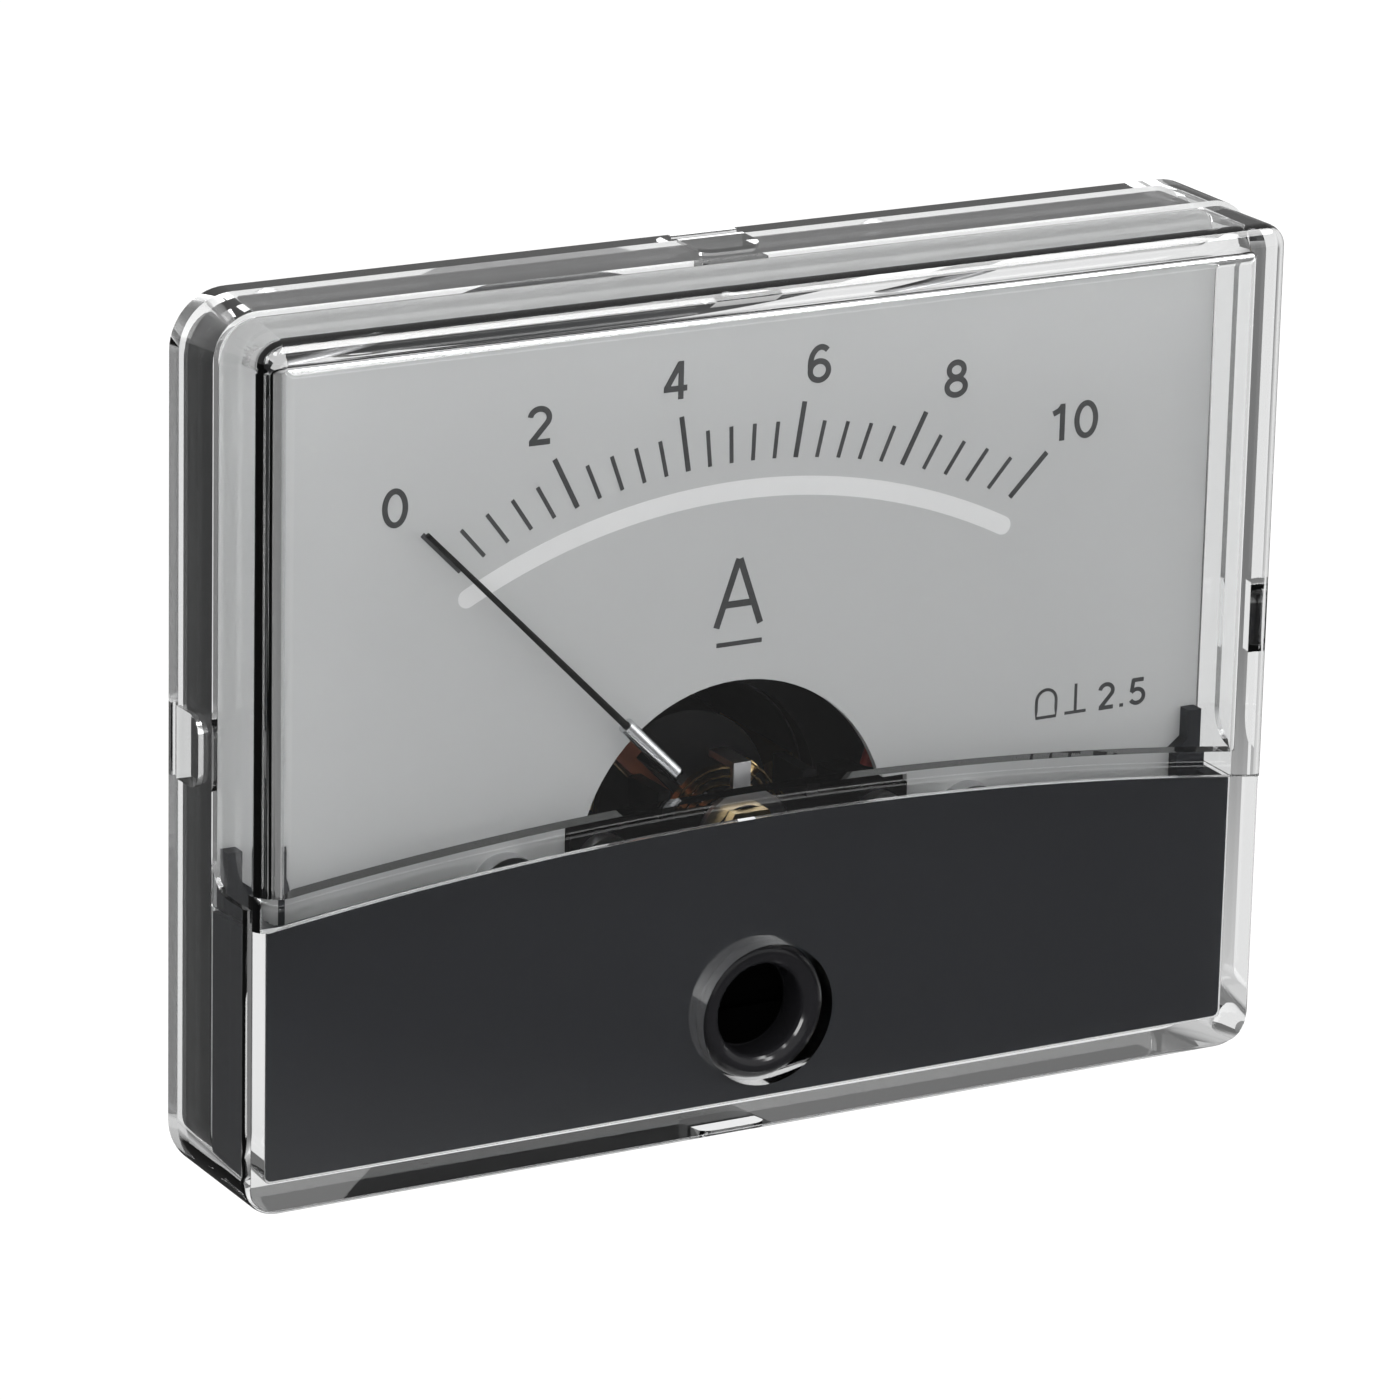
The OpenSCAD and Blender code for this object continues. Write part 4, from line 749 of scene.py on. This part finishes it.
gloss_black = finish("gloss_black", BUTTON_COLOUR, rough=0.12)
tree = gloss_black.node_tree
spot = tree.nodes.new("ShaderNodeNewGeometry")
apart, flat, away = (tree.nodes.new("ShaderNodeVectorMath") for k in range(3))
apart.operation, flat.operation, away.operation = "SUBTRACT", "MULTIPLY", "LENGTH"
apart.inputs[1].default_value = place(0, ADJUSTER_UP, 0)
flat.inputs[1].default_value = (1, 0, 1)
tree.links.new(spot.outputs["Position"], apart.inputs[0])
tree.links.new(apart.outputs["Vector"], flat.inputs[0])
tree.links.new(flat.outputs["Vector"], away.inputs[0])
# The shine and the colour fall to the painted shade inside the recess
tree.links.new(fade(tree, away.outputs["Value"], *RECESS_SHADE_EDGE, RECESS_SHADE_SHINE, BUTTON_SHINE),
               tree.nodes["Principled BSDF"].inputs["Specular IOR Level"])
vary(gloss_black, fade(tree, away.outputs["Value"], *RECESS_SHADE_EDGE, 0.0, 1.0), RECESS_SHADE_COLOUR,
     BUTTON_COLOUR, "Base Color")
vary(gloss_black, grain(gloss_black, size=0.002, detail=3), 0.07, 0.2, "Roughness")
bump(gloss_black, grain(gloss_black, size=0.0008, detail=2), height=0.000003, strength=0.2)
dress(["zero_adjuster"], gloss_black)


# Screws, zero lever and pivots. Small steel parts with a thin bright zinc plating, cold
# headed, stamped or turned.
zinc_steel = speckled("zinc_steel", (0.62, 0.62, 0.63), (0.52, 0.52, 0.53), (0.7, 0.7, 0.71),
                      size=0.0008, detail=4, rough=0.3, metal=1.0)
bump(zinc_steel, grain(zinc_steel, size=0.00015, detail=2), height=0.000002, strength=0.3)
dress(["dial_screws", "movement_screws", "front_bridge_screws", "rear_bridge_screws",
       "zero_lever", "front_pivot", "rear_pivot"], zinc_steel)


# Brass parts. Spacers, jewel screws with their nuts, spring anchor, collet, weights, and the
# washers and nuts of the terminals, turned or cut from bar and left bare.
turned_brass = speckled("turned_brass", (0.72, 0.55, 0.26), (0.6, 0.43, 0.2),
                        (0.78, 0.61, 0.32), size=0.001, detail=4, rough=0.28, metal=1.0)
bump(turned_brass, grain(turned_brass, size=0.0002, detail=2), height=0.000002, strength=0.3)
dress(["core_spacers", "front_jewel_screw", "front_jewel_nut", "rear_jewel_screw",
       "rear_jewel_nut", "rear_spring_anchor", "rear_collet", "balance_weights",
       "terminal_washers", "terminal_nuts"], turned_brass)


# Panel studs. Four turned steel rods with a rolled thread, pressed in from the front of the
# base, where each has a shank in its hole and a round head.
PANEL_X, PANEL_UP, PANEL_R, PANEL_PITCH, PANEL_L = 18, 16, 1.5, 0.5, 14
PANEL_RUN_OUT, SHANK_R, SHANK_L, PANEL_HEAD_R, PANEL_HEAD_TOP = 0.5, 1.75, 0.65, 3.1, 1.6
THREAD_CUT, CREST_START, CREST_END = 0.55, 0.4, 0.6
ROD_SIDES, ROD_SHARP = 40, 25


def threaded_end(r, pitch, tip, end):
    """Rings (radius, depth) of a screw thread, from the free tip to its end."""
    root = r - THREAD_CUT * pitch
    rings = [(root, tip)]
    for k in range(int((end - tip) / pitch)):
        start = tip + k * pitch
        rings += [(r, start + CREST_START * pitch), (r, start + CREST_END * pitch),
                  (root, start + pitch)]
    return rings + [(r, end)]


def turned_rods(name, spots, blocks, made):
    """Rods at several spots, each from blocks of (sides, rings)."""
    mesh = bmesh.new()
    for x, up in spots:
        for sides, rings in blocks:
            add_skin(mesh, [circle(x, up, r, depth, sides) for r, depth in rings])
    piece = mesh_piece(name, mesh)
    smooth(piece, ROD_SHARP)
    coat(piece, made)
    return piece


panel_rings = threaded_end(PANEL_R, PANEL_PITCH, -PANEL_L, -PANEL_RUN_OUT)
panel_rings += [(PANEL_R, 0), (SHANK_R, 0), (SHANK_R, SHANK_L), (PANEL_HEAD_R, SHANK_L),
                (PANEL_HEAD_R, PANEL_HEAD_TOP)]
panel_spots = [(x, up) for x in (-PANEL_X, PANEL_X) for up in (-PANEL_UP, PANEL_UP)]
panel_studs = turned_rods("panel_studs_threaded", panel_spots, [(ROD_SIDES, panel_rings)],
                          zinc_steel)
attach(panel_studs, "case")
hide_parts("panel_studs")


# Terminal studs. Two brass bolts through the barrel's rear wall, each with a hexagon head
# inside and a cut thread for the washers, nuts and solder tags.
TERMINAL_X, TERMINAL_UP, TERMINAL_R, TERMINAL_PITCH = 9, 4, 2, 0.7
TERMINAL_TIP, TERMINAL_HEAD, TERMINAL_HEAD_TOP, HEAD_CORNER_R = -30, -17, -14.8, 4.0415

terminal_blocks = [
    (ROD_SIDES, threaded_end(TERMINAL_R, TERMINAL_PITCH, TERMINAL_TIP, TERMINAL_HEAD)),
    (6, [(HEAD_CORNER_R, TERMINAL_HEAD), (HEAD_CORNER_R, TERMINAL_HEAD_TOP)]),
]
terminal_spots = [(-TERMINAL_X, TERMINAL_UP), (TERMINAL_X, TERMINAL_UP)]
terminal_studs = turned_rods("terminal_studs_threaded", terminal_spots, terminal_blocks,
                             turned_brass)
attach(terminal_studs, "case")
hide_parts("terminal_studs")


# Hairsprings. Two flat spirals of rolled bronze strip that hold the coil at zero and carry
# its current. The outer end of each is soldered.
spring_bronze = speckled("spring_bronze", (0.75, 0.52, 0.25), (0.66, 0.44, 0.2),
                         (0.82, 0.6, 0.32), size=0.0005, detail=3, rough=0.25, metal=1.0)
dress(["front_hairspring", "rear_hairspring"], spring_bronze)


# Yoke ring. A turned ring of soft iron that closes the magnet's field round the coil,
# annealed to a dull dark grey.
soft_iron = speckled("soft_iron", (0.07, 0.07, 0.075), (0.05, 0.05, 0.055), (0.1, 0.1, 0.105),
                     size=0.0009, detail=4, rough=0.5, metal=1.0)
dress(["yoke_ring"], soft_iron)


# Core magnet. A ground cylinder of magnet alloy, in near black: painted shade for the dark
# barrel behind the dial. Two brass spacers hold it in the yoke, clear of the coil.
# Painted shade: the near-black colour stands in for the shade inside the barrel
magnet_shade_black = speckled("magnet_shade_black", (0.01, 0.01, 0.011), (0.007, 0.007, 0.008),
                         (0.014, 0.014, 0.015), size=0.0004, detail=4, rough=0.55, shine=0.2)
bump(magnet_shade_black, grain(magnet_shade_black, size=0.00015, detail=2), height=0.000004, strength=0.3)
dress(["core_magnet"], magnet_shade_black)


# Rear bridge, coil former and pointer sleeve. Thin bright aluminium: the bridge is stamped,
# the former is folded sheet and the sleeve is drawn tube.
alloy = speckled("alloy", (0.75, 0.76, 0.78), (0.68, 0.69, 0.71), (0.82, 0.83, 0.85),
                 size=0.0007, detail=3, rough=0.25, metal=1.0)
dress(["rear_bridge", "coil_former", "pointer_sleeve"], alloy)


# Solder tags. Brass strip, stamped with a hole for the stud and one for the wire, and
# tinned to a soft grey.
tinned = speckled("tinned", (0.68, 0.67, 0.64), (0.58, 0.57, 0.55), (0.76, 0.75, 0.73),
                  size=0.0008, detail=4, rough=0.35, metal=1.0)
dress(["solder_tags"], tinned)


# Coil winding. Fine lacquered copper wire, wound on the former and baked into one block.
# The grain is drawn out along the turns.
copper = speckled("copper", (0.2, 0.07, 0.05), (0.14, 0.045, 0.03), (0.26, 0.1, 0.06),
                  size=0.00008, detail=2, rough=0.35, metal=0.4, stretch=(1, 1, 12))
dress(["coil_winding"], copper)


# Jewel cups. Ground synthetic ruby with a polished hollow for the pivot's tip, set in the
# jewel screws.
ruby = speckled("ruby", (0.6, 0.05, 0.12), (0.5, 0.03, 0.1), (0.66, 0.08, 0.15),
                size=0.0005, detail=2, rough=0.1)
dress(["jewel_cups"], ruby)


# Pointer. A thin aluminium arm and needle with a matt black paint, pushed into the sleeve
# and bent to stand clear of the dial.
pointer_black = speckled("pointer_black", (0.01, 0.01, 0.01), (0.007, 0.007, 0.007),
                         (0.014, 0.014, 0.014), size=0.0005, detail=2, rough=0.6, shine=0.15)
dress(["pointer_arm", "pointer_needle"], pointer_black)


# Shunt strip. A rolled strip of resistance alloy across the terminals, held by the heads of
# their studs and trimmed with a notch on each edge.
shunt_alloy = speckled("shunt_alloy", (0.5, 0.38, 0.28), (0.42, 0.3, 0.22), (0.58, 0.45, 0.34),
                       size=0.001, detail=4, rough=0.35, metal=1.0, stretch=(0.2, 1, 1))
dress(["shunt_strip"], shunt_alloy)


# Series resistor. A small ceramic rod with a tan lacquer, which trims the coil's current.
# It has no rings or print.
lacquer = speckled("lacquer", (0.6, 0.48, 0.3), (0.55, 0.43, 0.26), (0.64, 0.52, 0.34),
                   size=0.001, detail=3, rough=0.3)
dress(["series_resistor"], lacquer)


# Leads. Two short wires in soft plastic, red to the front bridge and blue to the rear
# spring, laid by hand and soldered.
red_wire = speckled("red_wire", (0.2, 0.02, 0.016), (0.17, 0.016, 0.012), (0.23, 0.026, 0.02),
                    size=0.001, detail=3, rough=0.5, shine=0.2)
dress(["front_lead"], red_wire)
blue_wire = speckled("blue_wire", (0.05, 0.1, 0.4), (0.04, 0.08, 0.35), (0.06, 0.12, 0.45),
                     size=0.001, detail=3, rough=0.4)
dress(["rear_lead"], blue_wire)
